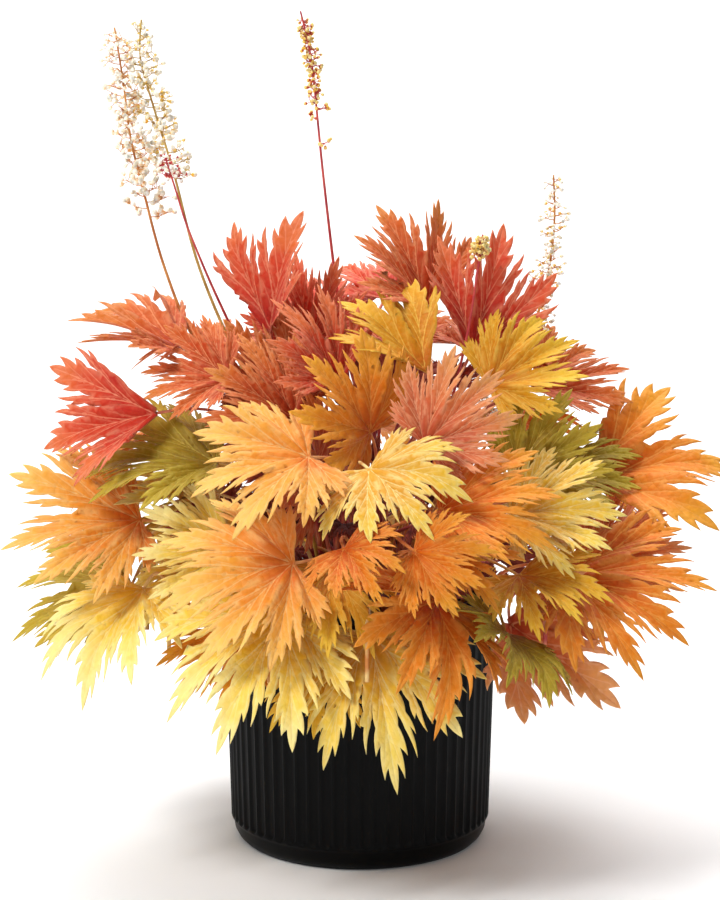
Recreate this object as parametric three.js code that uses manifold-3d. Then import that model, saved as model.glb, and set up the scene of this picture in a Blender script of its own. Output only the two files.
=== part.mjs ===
// Potted heuchera: a mound of fan-shaped, deeply cut autumn leaves on long petioles, six thin
// flower stalks, dark potting soil and a black ribbed pot. Millimetres, +Z up, the origin at the
// centre of the pot's flat underside. -Y is the front.
import * as THREE from "three";
import { mergeVertices } from "three/addons/utils/BufferGeometryUtils.js";
import Module from "manifold-3d";

const wasm = await Module();
wasm.setup();

// ---- driving dimensions ----
const GAP = 0.35; // clear space between neighbouring pieces
const GOLDEN = Math.PI * (3 - Math.sqrt(5));

const POT = {
  height: 165,
  rimRadius: 87.5, // over the ribs, at the top
  footTopRadius: 83.5, // over the ribs, where they end above the foot
  footRadius: 75,
  footHeight: 14,
  lipHeight: 3,
  ribs: 64,
  ribDepth: 1.5,
  ribRise: 2, // height over which the ribs fade into the foot
  lipInset: 0.5,
  wall: 4,
  floor: 5,
};
const SOIL_TOP = 150;
const SOIL_RADIUS = 79;
const HOLE_DEPTH = 7;
const CROWN_RADIUS = 8;
const ROOT_PITCH = 4.5; // root n stands at this times the square root of n from the crown
const FIRST_ROOT = 6;
const SPARE_ROOTS = 8;
const STALK_ROOM = 5; // no leaf is rooted nearer than this to a flower stalk

const BLADE_THICKNESS = 0.8;
const VALLEY = 0.06; // each lobe is a shallow V: its edges stand this much of the reach above its rib
const PETIOLE_STEPS = 3;
const MOST_NUDGES = 2500;
const LIGHT = 90; // the front leaves turn this far to the light before the plant
const RIPPLE = 0.25; // share by which the curl changes from lobe to lobe
// a blade faces away from a point inside the mound at this height, and a little up
const FACING = { height: 160, rise: 0.7, up: 65 };
const SPREAD = 0.7; // share of the outline's angles to which most blades open
// a petiole rises from the soil, leans out and meets its blade from behind: least rise, rise for the
// height of the blade, and how far before the blade (shares of the span) it swings in
const PETIOLE = {
  leastRise: 48, rise: 0.55, extraRise: 18, behind: 0.33, below: 0.08, over: 0.05, lowest: 200,
};
// low leaves are rooted far out, high ones near the crown
const ROOTING = { farthest: 36, nearest: 12, height: 160, slope: 0.12 };
// widest small changes of a leaf's place at change number `full`: millimetres and degrees
const NUDGE = { full: 150, swing: 5, out: 9, up: 8, tilt: 8, bow: 12, shrink: 0.05 };

// ---- the leaf outline, in degrees and in shares of the blade's length ----
// axis: angle of a lobe's rib; reach: radius of its tip; low, high: angles from the rib to the cuts
// beside it; lowCut, highCut: radius of those cuts
const LOBES = [
  { axis: -116, reach: 0.55, low: 22, high: 16, lowCut: 0.12, highCut: 0.2 },
  { axis: -79, reach: 0.82, low: 21, high: 19, lowCut: 0.2, highCut: 0.28 },
  { axis: -40, reach: 0.95, low: 20, high: 20, lowCut: 0.28, highCut: 0.34 },
  { axis: 0, reach: 1, low: 20, high: 20, lowCut: 0.34, highCut: 0.34 },
  { axis: 40, reach: 0.95, low: 20, high: 20, lowCut: 0.34, highCut: 0.28 },
  { axis: 79, reach: 0.82, low: 19, high: 21, lowCut: 0.28, highCut: 0.2 },
  { axis: 116, reach: 0.55, low: 16, high: 22, lowCut: 0.2, highCut: 0.12 },
];
// corners of one side of a lobe, from the cut to the tip: share of the angle and share of the reach
const TWO_TEETH = [[0.9, 0.7], [0.64, 0.61], [0.54, 0.87], [0.3, 0.77]];
const ONE_TOOTH = [[0.86, 0.78], [0.46, 0.72]];
const NO_TOOTH = [];
const RIB_POINT = 0.36; // where a lobe's rib is bent, as a share of its reach
const BASE_WIDTH = 1; // half the width of the blade's base, where the petiole joins

const TONES = {
  red: 0xc8412e,
  rust: 0xcf6a3a,
  salmon: 0xe08a62,
  orange: 0xe08a33,
  apricot: 0xe9a050,
  gold: 0xd9a52e,
  yellow: 0xe6c45a,
  olive: 0xa98f35,
};

// ---- planting table, front and sides, in the order of planting ----
// name, hub x, y, z, blade length, heading and pitch of the middle lobe, tone, then what is special:
// turn (roll about the middle lobe), fold (rise of the side lobes), spread, curl, light (turn to the
// light in front), fine (two teeth a side) or lean (a toothed middle only). Rows of one name share a shoot.
const PLANTED = [
  ["leaf_01", -30, -125, 268, 76, -155, 0, "apricot", {
    fold: 15, curl: 35, turn: 20, spread: 0.85, fine: true,
  }],
  ["leaf_02", -135, -60, 218, 90, -155, 5, "apricot", { fold: 15, curl: 30, fine: true }],
  ["leaf_03", 125, -88, 190, 94, -38, -6, "orange", { fold: 15, curl: 40, fine: true }],
  ["leaf_04", -44, -125, 176, 98, -115, -25, "yellow", { fold: 10, curl: 40, fine: true }],
  ["leaf_05", 6, -125, 162, 96, -80, -35, "yellow", { fold: 20, curl: 35, fine: true }],
  ["leaf_06", -39, -145, 209, 84, -155, -3, "apricot", {
    fold: 10, curl: 40, turn: 15, spread: 0.8, fine: true,
  }],
  ["leaf_07", 44, -135, 184, 82, -100, -15, "orange", { fold: 15, curl: 40, fine: true }],
  ["leaf_22", -9, -165, 222, 50, -75, -5, "orange", { fold: 20, curl: 45 }],
  ["leaf_08", 145, -20, 236, 92, -5, 18, "orange", {
    fold: 18, curl: 22, turn: -15, spread: 0.44, fine: true,
  }],
  ["leaf_35", -18, -108, 150, 64, -100, -40, "gold", { fold: 25, curl: 30 }],
  ["leaf_09", -125, -60, 284, 74, 180, -12, "red", { fold: 45, curl: 15, turn: -20, spread: 0.38 }],
  ["leaf_10", -56, -10, 330, 76, -60, 75, "red", { fold: 24, curl: 10, spread: 0.42 }],
  ["leaf_11", 42, -15, 346, 72, 170, 70, "rust", { fold: 20, curl: 20, spread: 0.55, fine: true }],
  ["leaf_12", 70, -20, 318, 80, 0, 75, "red", { fold: 25, curl: 10, spread: 0.36, fine: true }],
  ["leaf_13", -109, -20, 318, 78, 180, 25, "rust", { fold: 15, curl: 20, light: 10, spread: 0.55 }],
  ["leaf_14", 38, -110, 273, 66, -15, 48, "salmon", { fold: 15, curl: 30, lean: true }],
  ["leaf_15", 47, -130, 237, 76, -10, 20, "orange", { fold: 20, curl: 40, turn: -25 }],
  ["leaf_16", -134, -80, 180, 86, -125, -20, "yellow", { fold: 15, curl: 35 }],
  ["leaf_17", 0, -130, 258, 70, -65, -15, "yellow", { fold: 15, curl: 35, spread: 0.8 }],
  ["leaf_18", -6, -128, 206, 68, -85, -25, "gold", { fold: 20, curl: 35, lean: true }],
  ["leaf_19", 6, -80, 275, 70, -130, 50, "orange", { fold: 20, curl: 30, spread: 0.85 }],
  ["leaf_20", 34, -112, 205, 68, -60, -20, "orange", { fold: 20, curl: 30 }],
  ["leaf_21", 40, -60, 312, 70, 165, 48, "gold", { fold: 35, curl: 20, spread: 0.38 }],
  ["leaf_23", -9, -60, 311, 66, -150, 65, "red", { fold: 15, curl: 20, spread: 0.5 }],
  ["leaf_24", -39, -70, 282, 66, -165, 35, "rust", { fold: 20, curl: 25, spread: 0.55 }],
  ["leaf_25", 79, -50, 300, 66, -5, 35, "gold", { fold: 15, curl: 25 }],
  ["leaf_26", 94, -70, 248, 70, -10, 35, "olive", { fold: 15, curl: 25 }],
  ["leaf_27", 86, -100, 226, 78, -10, 2, "yellow", { fold: 10, curl: 30, turn: -30 }],
  ["leaf_28", -95, -45, 232, 76, 175, 8, "yellow", { fold: 15, curl: 25, turn: 30 }],
  ["leaf_29", 88, -80, 157, 84, -40, -20, "salmon", { fold: 50, curl: 25, turn: 20, spread: 0.45 }],
  ["leaf_30", 88, -100, 168, 76, -75, -15, "olive", { fold: 15, curl: 30, lean: true }],
  ["leaf_31", -87, -70, 255, 86, 178, 10, "olive", { fold: 15, curl: 25, turn: 30, lean: true }],
  ["leaf_32", 32, -150, 208, 56, -40, 0, "orange", { fold: 20, curl: 35 }],
  ["leaf_33", -99, -85, 193, 70, -165, -8, "yellow", { fold: 15, curl: 25 }],
  ["leaf_34", -146, -10, 165, 86, -160, -5, "olive", { fold: 15, curl: 30, lean: true }],
  ["leaf_36", -65, -90, 160, 66, -130, -25, "orange", { fold: 20, curl: 30, lean: true }],
  ["leaf_37", 144, -30, 188, 66, -15, 15, "salmon", { fold: 30, curl: 20, lean: true }],
  ["leaf_38", 110, 5, 290, 66, 10, 15, "rust", { fold: 20, curl: 20, spread: 0.5, lean: true }],
  ["leaf_39", 122, -20, 235, 70, -20, 0, "olive", { fold: 15, curl: 25, lean: true }],
  ["leaf_40", -50, -30, 275, 72, -160, 60, "rust", { fold: 20, curl: 20, spread: 0.9 }],
  ["leaf_41", -25, -70, 235, 74, -100, 40, "rust", { fold: 20, curl: 30, spread: 0.9 }],
  ["leaf_42", -8, 0, 334, 72, -125, 62, "red", { fold: 20, curl: 20 }],
  ["leaf_43", 83, -110, 200, 64, -60, -5, "gold", { fold: 20, curl: 30 }],
  ["leaf_41", -92, -62, 172, 68, -150, -20, "yellow", { fold: 20, curl: 30 }],
  ["leaf_40", -88, -50, 300, 62, 170, 15, "rust", { fold: 20, curl: 20 }],
];

// ---- the back of the mound: rings of leaves, two to a shoot ----
// hub radius, hub height, pitch, blade length, first azimuth, step, number and tone
const BACK_RINGS = [
  { radius: 28, height: 334, pitch: 35, length: 72, from: 55, step: 75, count: 2, tone: "red" },
  { radius: 76, height: 308, pitch: 18, length: 80, from: 28, step: 42, count: 4, tone: "rust" },
  { radius: 114, height: 256, pitch: -14, length: 90, from: 12, step: 39, count: 5, tone: "orange" },
  { radius: 118, height: 198, pitch: -38, length: 94, from: 0, step: 36, count: 5, tone: "gold" },
];
const BACK_LOOK = { fold: 12, curl: 28, spread: 0.78, lean: true };
// how far the back leaves stray from their ring: azimuth, height and pitch
const STRAY = { azimuth: 7, height: 12, pitch: 8 };
const LEAVES_PER_BACK_SHOOT = 2;
const FRONT_SHOOTS = new Set(PLANTED.map(([name]) => name)).size;

// ---- flower stalks: points from the soil up, start of the flower head as a share of the length ----
const STALKS = [
  {
    name: "stalk_01", tone: "tan", head: 0.52, sprays: 18, spray: [17, 6],
    points: [
      [-12, 10, SOIL_TOP], [-38, 12, 225], [-80, 14, 290], [-106, 15, 322],
      [-124, 15, 367], [-136, 15, 413], [-144, 15, 448], [-148, 15, 482],
      [-153, 15, 516],
    ],
  },
  {
    name: "stalk_02", tone: "tan", head: 0.56, sprays: 16, spray: [18, 6],
    points: [
      [-20, 4, SOIL_TOP], [-44, 10, 240], [-80, 18, 312], [-103, 22, 368],
      [-118, 24, 426], [-131, 24, 470], [-138, 24, 498], [-137, 24, 521],
    ],
  },
  {
    name: "stalk_03", tone: "red", head: 0.9, sprays: 7, spray: [9, 5],
    points: [
      [-14, 18, SOIL_TOP], [-36, 8, 238], [-82, -4, 333], [-105, -10, 388],
      [-114, -10, 416], [-121, -10, 439],
    ],
  },
  {
    name: "stalk_04", tone: "red", head: 0.62, sprays: 13, spray: [12, 4],
    points: [
      [2, 22, SOIL_TOP], [-4, 22, 260], [-18, 20, 378], [-24, 18, 432],
      [-28, 16, 474], [-31, 14, 500], [-37, 12, 526],
    ],
  },
  {
    name: "stalk_05", tone: "red", head: 0.9, sprays: 8, spray: [7, 4],
    points: [
      [18, -4, SOIL_TOP], [40, -20, 225], [56, -32, 285], [66, -36, 330],
      [71, -36, 362], [75, -36, 391],
    ],
  },
  {
    name: "stalk_06", tone: "tan", head: 0.45, sprays: 14, spray: [18, 6],
    points: [
      [20, 12, SOIL_TOP], [56, 20, 230], [94, 26, 292], [112, 28, 330],
      [121, 30, 365], [124, 30, 396], [123, 30, 424],
    ],
  },
];
const STALK_STEPS = 8;
const STALK_RADIUS = [1.5, 0.8];
const BELL_RADIUS = [2.8, 2];
const STALK_TONES = { tan: 0xb98a5a, red: 0xb5473c };
const TOP_BELL = 0.985; // the last bell stands at this share of the stalk
const BELL_RISE = 0.6; // a bell's stem rises this much for each millimetre outward
const BELL_WAIST = 0.7; // share of its length where a bell is widest
const COLOURS = { pot: 0x141312, crown: 0x5a3b2a, soil: 0x2a1c14 };

// ---- solids ----

/** Closed solid from points and triangles whose corners turn anticlockwise seen from outside. */
function solid(points, triangles) {
  const vertProperties = new Float32Array(points.flatMap((p) => [p.x, p.y, p.z]));
  const triVerts = new Uint32Array(triangles.flat());
  return new wasm.Manifold(new wasm.Mesh({ numProp: 3, vertProperties, triVerts }));
}

/** Solid from a closed three.js geometry. */
function solidOf(geometry) {
  geometry.deleteAttribute("normal");
  geometry.deleteAttribute("uv");
  const merged = mergeVertices(geometry, 1e-4);
  return new wasm.Manifold(new wasm.Mesh({
    numProp: 3,
    vertProperties: merged.attributes.position.array,
    triVerts: new Uint32Array(merged.index.array),
  }));
}

/** Named three.js mesh from a solid. */
function meshOf(name, body, colour, roughness) {
  const made = body.getMesh();
  const geometry = new THREE.BufferGeometry();
  geometry.setAttribute("position", new THREE.BufferAttribute(made.vertProperties, 3));
  geometry.setIndex(new THREE.BufferAttribute(made.triVerts, 1));
  const material = new THREE.MeshStandardMaterial({ color: colour, roughness, metalness: 0 });
  const mesh = new THREE.Mesh(geometry, material);
  mesh.name = name;
  return mesh;
}

/** Triangles between two rings of points, of which one may have twice as many points as the other. */
function band(lower, lowerCount, upper, upperCount) {
  const steps = Math.max(lowerCount, upperCount);
  const at = (start, count, i) => start + (Math.floor((i * count) / steps) % count);
  const triangles = [];
  for (let i = 0; i < steps; i++) {
    const [a, b] = [at(lower, lowerCount, i), at(lower, lowerCount, i + 1)];
    const [c, d] = [at(upper, upperCount, i), at(upper, upperCount, i + 1)];
    if (a !== b) triangles.push([a, b, d]);
    if (c !== d) triangles.push([a, d, c]);
  }
  return triangles;
}

/** Solid of stacked rings, each a list of points that turn anticlockwise seen from the last ring. */
function ringBody(rings) {
  const points = rings.flat();
  const triangles = [];
  let start = 0;
  rings.slice(1).forEach((ring, i) => {
    triangles.push(...band(start, rings[i].length, start + rings[i].length, ring.length));
    start += rings[i].length;
  });
  const first = rings[0].length;
  const last = rings[rings.length - 1].length;
  for (let i = 1; i < first - 1; i++) triangles.push([0, i + 1, i]);
  for (let i = 1; i < last - 1; i++) triangles.push([start, start + i, start + i + 1]);
  return solid(points, triangles);
}

/** Ring of points about a centre, in the plane of two directions. */
function ringAbout(centre, side, up, radius, count) {
  const points = [];
  for (let k = 0; k < count; k++) {
    const angle = (2 * Math.PI * k) / count;
    const out = side.clone().multiplyScalar(radius * Math.cos(angle));
    points.push(out.addScaledVector(up, radius * Math.sin(angle)).add(centre));
  }
  return points;
}

/** Tapered closed tube through the given points. */
function tube(points, startRadius, endRadius, sides) {
  const rings = [];
  let side = new THREE.Vector3(1, 0, 0);
  points.forEach((point, i) => {
    const before = points[Math.max(i - 1, 0)];
    const after = points[Math.min(i + 1, points.length - 1)];
    const along = after.clone().sub(before).normalize();
    side = side.clone().addScaledVector(along, -side.dot(along)).normalize();
    const up = along.clone().cross(side);
    const radius = startRadius + ((endRadius - startRadius) * i) / (points.length - 1);
    rings.push(ringAbout(point, side, up, radius, sides));
  });
  return ringBody(rings);
}

/** Upright prism with the given number of sides. */
function prism(x, y, bottom, top, radius, sides) {
  const ring = (z) => circle(sides, () => radius, z).map((p) => p.add(new THREE.Vector3(x, y, 0)));
  return ringBody([ring(bottom), ring(top)]);
}

/** Ring of points about the Z axis whose radius follows a rule. */
function circle(count, radiusAt, z) {
  const points = [];
  for (let i = 0; i < count; i++) {
    const angle = (2 * Math.PI * i) / count;
    points.push(new THREE.Vector3(radiusAt(i) * Math.cos(angle), radiusAt(i) * Math.sin(angle), z));
  }
  return points;
}

// ---- pot, soil and crown ----

/** Pot: a smooth foot, upright ribs up to a plain lip, and a hollow inside. */
function potBody() {
  const plain = (radius, z) => circle(POT.ribs, () => radius, z);
  const ribbed = (radius, z) => circle(2 * POT.ribs, (i) => (i % 2 ? radius - POT.ribDepth : radius), z);
  const hollow = (radius, z) => circle(POT.ribs / 2, () => radius, z);
  const inside = POT.rimRadius - POT.wall;
  return ringBody([
    plain(POT.footRadius, 0),
    plain(POT.footTopRadius - POT.ribDepth, POT.footHeight),
    ribbed(POT.footTopRadius, POT.footHeight + POT.ribRise),
    ribbed(POT.rimRadius, POT.height - POT.lipHeight),
    plain(POT.rimRadius - POT.lipInset, POT.height),
    hollow(inside, POT.height),
    hollow(SOIL_RADIUS + GAP, POT.footHeight),
    hollow(POT.footRadius - POT.wall, POT.floor),
  ]);
}

/** Place of the n-th root on the soil: a sunflower spiral about the crown. */
function rootAt(n) {
  const radius = ROOT_PITCH * Math.sqrt(n + FIRST_ROOT);
  return new THREE.Vector3(radius * Math.cos(n * GOLDEN), radius * Math.sin(n * GOLDEN), SOIL_TOP);
}

/** Soil that fills the pot, with a plain hole for each stem and for the crown. */
function soilBody(holes) {
  const taper = (POT.rimRadius - POT.wall - SOIL_RADIUS) / (POT.height - POT.footHeight);
  const topRadius = SOIL_RADIUS - GAP + taper * (SOIL_TOP - POT.footHeight);
  const filled = ringBody([
    circle(POT.ribs / 2, () => POT.footRadius - POT.wall - 2 * GAP, POT.floor + GAP),
    circle(POT.ribs / 2, () => SOIL_RADIUS - 2 * GAP, POT.footHeight),
    circle(POT.ribs / 2, () => topRadius - GAP, SOIL_TOP),
  ]);
  const depth = SOIL_TOP - HOLE_DEPTH - GAP;
  const stemHoles = holes.map((h) => prism(h.x, h.y, depth, SOIL_TOP + 1, h.radius, 4));
  const crownHole = prism(0, 0, depth, SOIL_TOP + 1, CROWN_RADIUS + 2 * GAP, 8);
  return [crownHole, ...stemHoles].reduce((body, hole) => body.subtract(hole), filled);
}

/** Crown: the low woody lump that the shoots grow from, half sunk in the soil. */
function crownBody() {
  const lump = new THREE.SphereGeometry(CROWN_RADIUS, 8, 5);
  lump.rotateX(Math.PI / 2);
  lump.translate(0, 0, SOIL_TOP - HOLE_DEPTH + CROWN_RADIUS);
  return solidOf(lump);
}

// ---- leaves ----

/**
 * Corner points of the blade in polar form, the triangles of its upper face, and its edge from the
 * right corner of the base (point 0) round to the left one (point 1). Lobes within the widest angle
 * are toothed.
 */
function bladeTemplate(bigLobe, widest) {
  const points = [{ base: -1 }, { base: 1 }];
  const edge = [0];
  const triangles = [];
  const add = (radius, angle, off) => points.push({ radius, angle, off }) - 1;
  LOBES.forEach((lobe, n) => {
    const teeth = Math.abs(lobe.axis) > widest ? NO_TOOTH : bigLobe;
    const rib = add(RIB_POINT * lobe.reach, lobe.axis, 0);
    const side = [n ? edge[edge.length - 1] : add(lobe.lowCut, lobe.axis - lobe.low, 1)];
    if (!n) edge.push(side[0]);
    teeth.forEach(([share, reach]) => {
      side.push(add(reach * lobe.reach, lobe.axis - share * lobe.low, share));
    });
    side.push(add(lobe.reach, lobe.axis, 0));
    [...teeth].reverse().forEach(([share, reach]) => {
      side.push(add(reach * lobe.reach, lobe.axis + share * lobe.high, share));
    });
    side.push(add(lobe.highCut, lobe.axis + lobe.high, 1));
    for (let i = 0; i + 1 < side.length; i++) triangles.push([rib, side[i], side[i + 1]]);
    const [before, after] = [lobe.axis > 0 ? 1 : 0, lobe.axis < 0 ? 0 : 1];
    triangles.push([before, side[0], rib], [after, rib, side[side.length - 1]]);
    if (before !== after) triangles.push([before, rib, after]);
    edge.push(...side.slice(1));
  });
  edge.push(1);
  return { points, triangles, edge };
}
const FINE_BLADE = bladeTemplate(TWO_TEETH, 80);
const PLAIN_BLADE = bladeTemplate(ONE_TOOTH, 80);
const LEAN_BLADE = bladeTemplate(ONE_TOOTH, 40);

const radians = THREE.MathUtils.degToRad;

/** Point of a curled, folded blade at a share of its length along one ray from the hub. */
function bladePoint(leaf, frame, { base, radius: share, angle, off }) {
  if (base) return leaf.hub.clone().addScaledVector(frame.across, base * BASE_WIDTH);
  const ray = radians(angle * leaf.spread);
  const rise = radians(leaf.fold) * Math.abs(Math.sin(ray)) ** 1.5;
  const curl = radians(leaf.curl) * (1 + RIPPLE * Math.sin(3 * ray + leaf.phase));
  const bend = rise - curl * share;
  const out = (leaf.length / curl) * (Math.sin(rise) - Math.sin(bend));
  const up = (leaf.length / curl) * (Math.cos(bend) - Math.cos(rise)) + VALLEY * off * share * leaf.length;
  return leaf.hub.clone()
    .addScaledVector(frame.along, out * Math.cos(ray))
    .addScaledVector(frame.across, out * Math.sin(ray))
    .addScaledVector(frame.face, up);
}

/** Directions of a blade: along the middle lobe, across, and out of its face, which looks outward. */
function bladeFrame(leaf) {
  const heading = radians(leaf.heading);
  const pitch = radians(leaf.pitch);
  const level = Math.cos(pitch);
  const along = new THREE.Vector3(Math.cos(heading) * level, Math.sin(heading) * level, Math.sin(pitch));
  const upward = FACING.rise * (leaf.hub.z - FACING.height) + FACING.up;
  const outward = new THREE.Vector3(leaf.hub.x, leaf.hub.y - leaf.light, upward).normalize();
  const face = outward.addScaledVector(along, -outward.dot(along)).normalize();
  face.applyAxisAngle(along, radians(leaf.turn));
  return { along, face, across: face.clone().cross(along) };
}

/** Points of a petiole from its hole in the soil to the hub of the blade. */
function petiolePath(leaf, frame) {
  const foot = leaf.root.clone().setZ(SOIL_TOP - HOLE_DEPTH);
  const start = leaf.root.clone().setZ(SOIL_TOP + 1);
  const reach = leaf.hub.distanceTo(start);
  const rise = Math.max(PETIOLE.leastRise, PETIOLE.rise * (leaf.hub.z - SOIL_TOP) + PETIOLE.extraRise);
  const first = start.clone().add(new THREE.Vector3(leaf.bow, leaf.bow, rise));
  const second = leaf.hub.clone();
  second.addScaledVector(frame.along, -PETIOLE.behind * reach);
  second.addScaledVector(frame.face, -PETIOLE.below * reach);
  second.z += PETIOLE.over * reach + Math.max(0, (PETIOLE.lowest - leaf.hub.z) / 2);
  const curve = new THREE.CubicBezierCurve3(start, first, second, leaf.hub);
  return [foot, ...curve.getPoints(PETIOLE_STEPS)];
}

/** Rings of the petiole's square section, from the soil to just before the blade. */
function petioleRings(path, across) {
  const rings = [];
  let side = across;
  for (let i = path.length - 2; i >= 0; i--) {
    const along = path[i + 1].clone().sub(path[Math.max(i - 1, 0)]).normalize();
    side = side.clone().addScaledVector(along, -side.dot(along)).normalize();
    const up = along.clone().cross(side);
    const ring = [[1, 1], [-1, 1], [-1, -1], [1, -1]].map(([a, b]) => (
      path[i].clone().addScaledVector(side, a * BASE_WIDTH).addScaledVector(up, b * BASE_WIDTH)
    ));
    rings.unshift(ring);
  }
  return rings;
}

/** One closed leaf: a blade of even thickness, its two faces split alike, that runs on into its petiole. */
function leafBody(leaf) {
  const frame = bladeFrame(leaf);
  const { points, triangles, edge } = leaf.fine ? FINE_BLADE : leaf.lean ? LEAN_BLADE : PLAIN_BLADE;
  const middle = points.map((p) => bladePoint(leaf, frame, p));
  const normals = middle.map(() => new THREE.Vector3());
  triangles.forEach(([a, b, c]) => {
    const normal = middle[b].clone().sub(middle[a]).cross(middle[c].clone().sub(middle[a]));
    [a, b, c].forEach((i) => normals[i].add(normal));
  });
  normals[0].copy(frame.face);
  normals[1].copy(frame.face);
  const shifted = (way) => middle.map((p, i) => p.clone().addScaledVector(normals[i].normalize(), way));
  const count = points.length;
  const faces = triangles.flatMap(([a, b, c]) => [[a, b, c], [a + count, c + count, b + count]]);
  edge.slice(1).forEach((b, i) => {
    const a = edge[i];
    faces.push([b, a, a + count], [b, a + count, b + count]);
  });
  const rings = petioleRings(petiolePath(leaf, frame), frame.across);
  const first = 2 * count;
  rings.slice(1).forEach((_, i) => faces.push(...band(first + 4 * i, 4, first + 4 * i + 4, 4)));
  const last = first + 4 * (rings.length - 1);
  const base = [1, 0, count, count + 1];
  base.forEach((b, i) => {
    const next = (i + 1) % 4;
    faces.push([last + i, last + next, base[next]], [last + i, base[next], b]);
  });
  faces.push([first, first + 2, first + 1], [first, first + 3, first + 2]);
  const corners = [...shifted(BLADE_THICKNESS / 2), ...shifted(-BLADE_THICKNESS / 2), ...rings.flat()];
  return solid(corners, faces);
}

/** The k-th small change to a leaf's place: none first, then wider and wider. */
function nudged(leaf, k) {
  const size = Math.sqrt(k / NUDGE.full);
  const swing = NUDGE.swing * size * Math.sin(2.4 * k);
  const hub = leaf.hub.clone();
  hub.addScaledVector(hub.clone().setZ(0).normalize(), NUDGE.out * size * Math.sin(3.1 * k + 2));
  hub.z += NUDGE.up * size * Math.sin(1.7 * k + 1);
  hub.applyAxisAngle(new THREE.Vector3(0, 0, 1), radians(swing));
  return {
    ...leaf,
    hub,
    heading: leaf.heading + swing,
    pitch: leaf.pitch + NUDGE.tilt * size * Math.sin(0.9 * k + 3),
    turn: leaf.turn + NUDGE.tilt * size * Math.sin(4.3 * k + 4),
    bow: NUDGE.bow * size * Math.sin(5.3 * k + 5),
    length: leaf.length * (1 - NUDGE.shrink * size),
  };
}

/** Whether a solid stands clear of all the solids placed so far. */
function clear(body, placed) {
  const box = body.boundingBox();
  return placed.every((other) => {
    for (let i = 0; i < 3; i++) {
      if (box.min[i] > other.box.max[i] + GAP || box.max[i] < other.box.min[i] - GAP) return true;
    }
    return body.minGap(other.body, GAP) >= GAP;
  });
}

/** Finds the first small change that brings a leaf clear of the rest. */
function placeLeaf(leaf, placed) {
  for (let k = 0; k < MOST_NUDGES; k++) {
    const body = leafBody(nudged(leaf, k));
    if (clear(body, placed)) return body;
  }
  throw new Error(leaf.name + " finds no room");
}

/** Free root nearest to where a leaf wants to stand: low leaves outside, high ones near the crown. */
function takeRoot(hub, free) {
  const wish = ROOTING.farthest - ROOTING.slope * (hub.z - ROOTING.height);
  const spread = THREE.MathUtils.clamp(wish, ROOTING.nearest, ROOTING.farthest);
  const wanted = hub.clone().setZ(0).setLength(spread);
  const distance = (n) => Math.hypot(rootAt(n).x - wanted.x, rootAt(n).y - wanted.y);
  free.sort((a, b) => distance(a) - distance(b));
  return rootAt(free.shift());
}

/** Rows of the planting table and of the back rings as leaves. */
function leafList() {
  const leaves = PLANTED.map(([name, x, y, z, length, heading, pitch, tone, look]) => (
    { name, hub: new THREE.Vector3(x, y, z), length, heading, pitch, tone, light: LIGHT, ...look }
  ));
  let backs = 0;
  BACK_RINGS.forEach((ring) => {
    for (let i = 0; i < ring.count; i++) {
      const heading = ring.from + i * ring.step + STRAY.azimuth * Math.sin(5.1 * backs);
      const x = ring.radius * Math.cos(radians(heading));
      const y = ring.radius * Math.sin(radians(heading));
      leaves.push({
        ...BACK_LOOK,
        name: "leaf_" + (FRONT_SHOOTS + 1 + Math.floor(backs / LEAVES_PER_BACK_SHOOT)),
        hub: new THREE.Vector3(x, y, ring.height + STRAY.height * Math.cos(3.7 * backs)),
        length: ring.length,
        heading,
        pitch: ring.pitch + STRAY.pitch * Math.sin(2.3 * backs),
        tone: ring.tone,
      });
      backs += 1;
    }
  });
  return leaves.map((leaf, i) => (
    { turn: 0, spread: SPREAD, phase: i, light: 0, fine: false, ...leaf }
  ));
}

// ---- flower stalks ----

/** Spindle that stands for a flower on its short stem: thin at the stalk, widest at the bell. */
function bell(from, to, radius) {
  const along = to.clone().sub(from).normalize();
  const side = new THREE.Vector3(-along.y, along.x, 0.01).normalize();
  const up = along.clone().cross(side);
  const waist = from.clone().lerp(to, BELL_WAIST);
  const points = [from, to, ...ringAbout(waist, side, up, radius, 3)];
  return solid(points, [[0, 3, 2], [0, 4, 3], [0, 2, 4], [1, 2, 3], [1, 3, 4], [1, 4, 2]]);
}

/** Point on the middle line of evenly spaced points, at a share of its length. */
function pointAlong(points, share) {
  const place = share * (points.length - 1);
  const before = Math.floor(place);
  return points[before].clone().lerp(points[before + 1], place - before);
}

/** Flower stalk: a thin stem with short-stemmed bells all round its upper part. */
function stalkBody(stalk) {
  const curve = new THREE.CatmullRomCurve3(stalk.points.map((p) => new THREE.Vector3(...p)));
  const foot = new THREE.Vector3(stalk.points[0][0], stalk.points[0][1], SOIL_TOP - HOLE_DEPTH);
  const path = curve.getSpacedPoints(STALK_STEPS);
  const stem = tube([foot, ...path], STALK_RADIUS[0], STALK_RADIUS[1], 4);
  const bells = [];
  for (let i = 0; i < stalk.sprays; i++) {
    const share = i / (stalk.sprays - 1);
    const from = pointAlong(path, stalk.head + (TOP_BELL - stalk.head) * share);
    const angle = i * GOLDEN;
    const length = stalk.spray[0] + (stalk.spray[1] - stalk.spray[0]) * share;
    const radius = BELL_RADIUS[0] + (BELL_RADIUS[1] - BELL_RADIUS[0]) * share;
    const outward = new THREE.Vector3(Math.cos(angle), Math.sin(angle), BELL_RISE);
    const to = from.clone().addScaledVector(outward, length);
    bells.push(bell(from, to, radius));
  }
  return bells.reduce((body, flower) => body.add(flower), stem);
}

// ---- the whole plant ----

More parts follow.
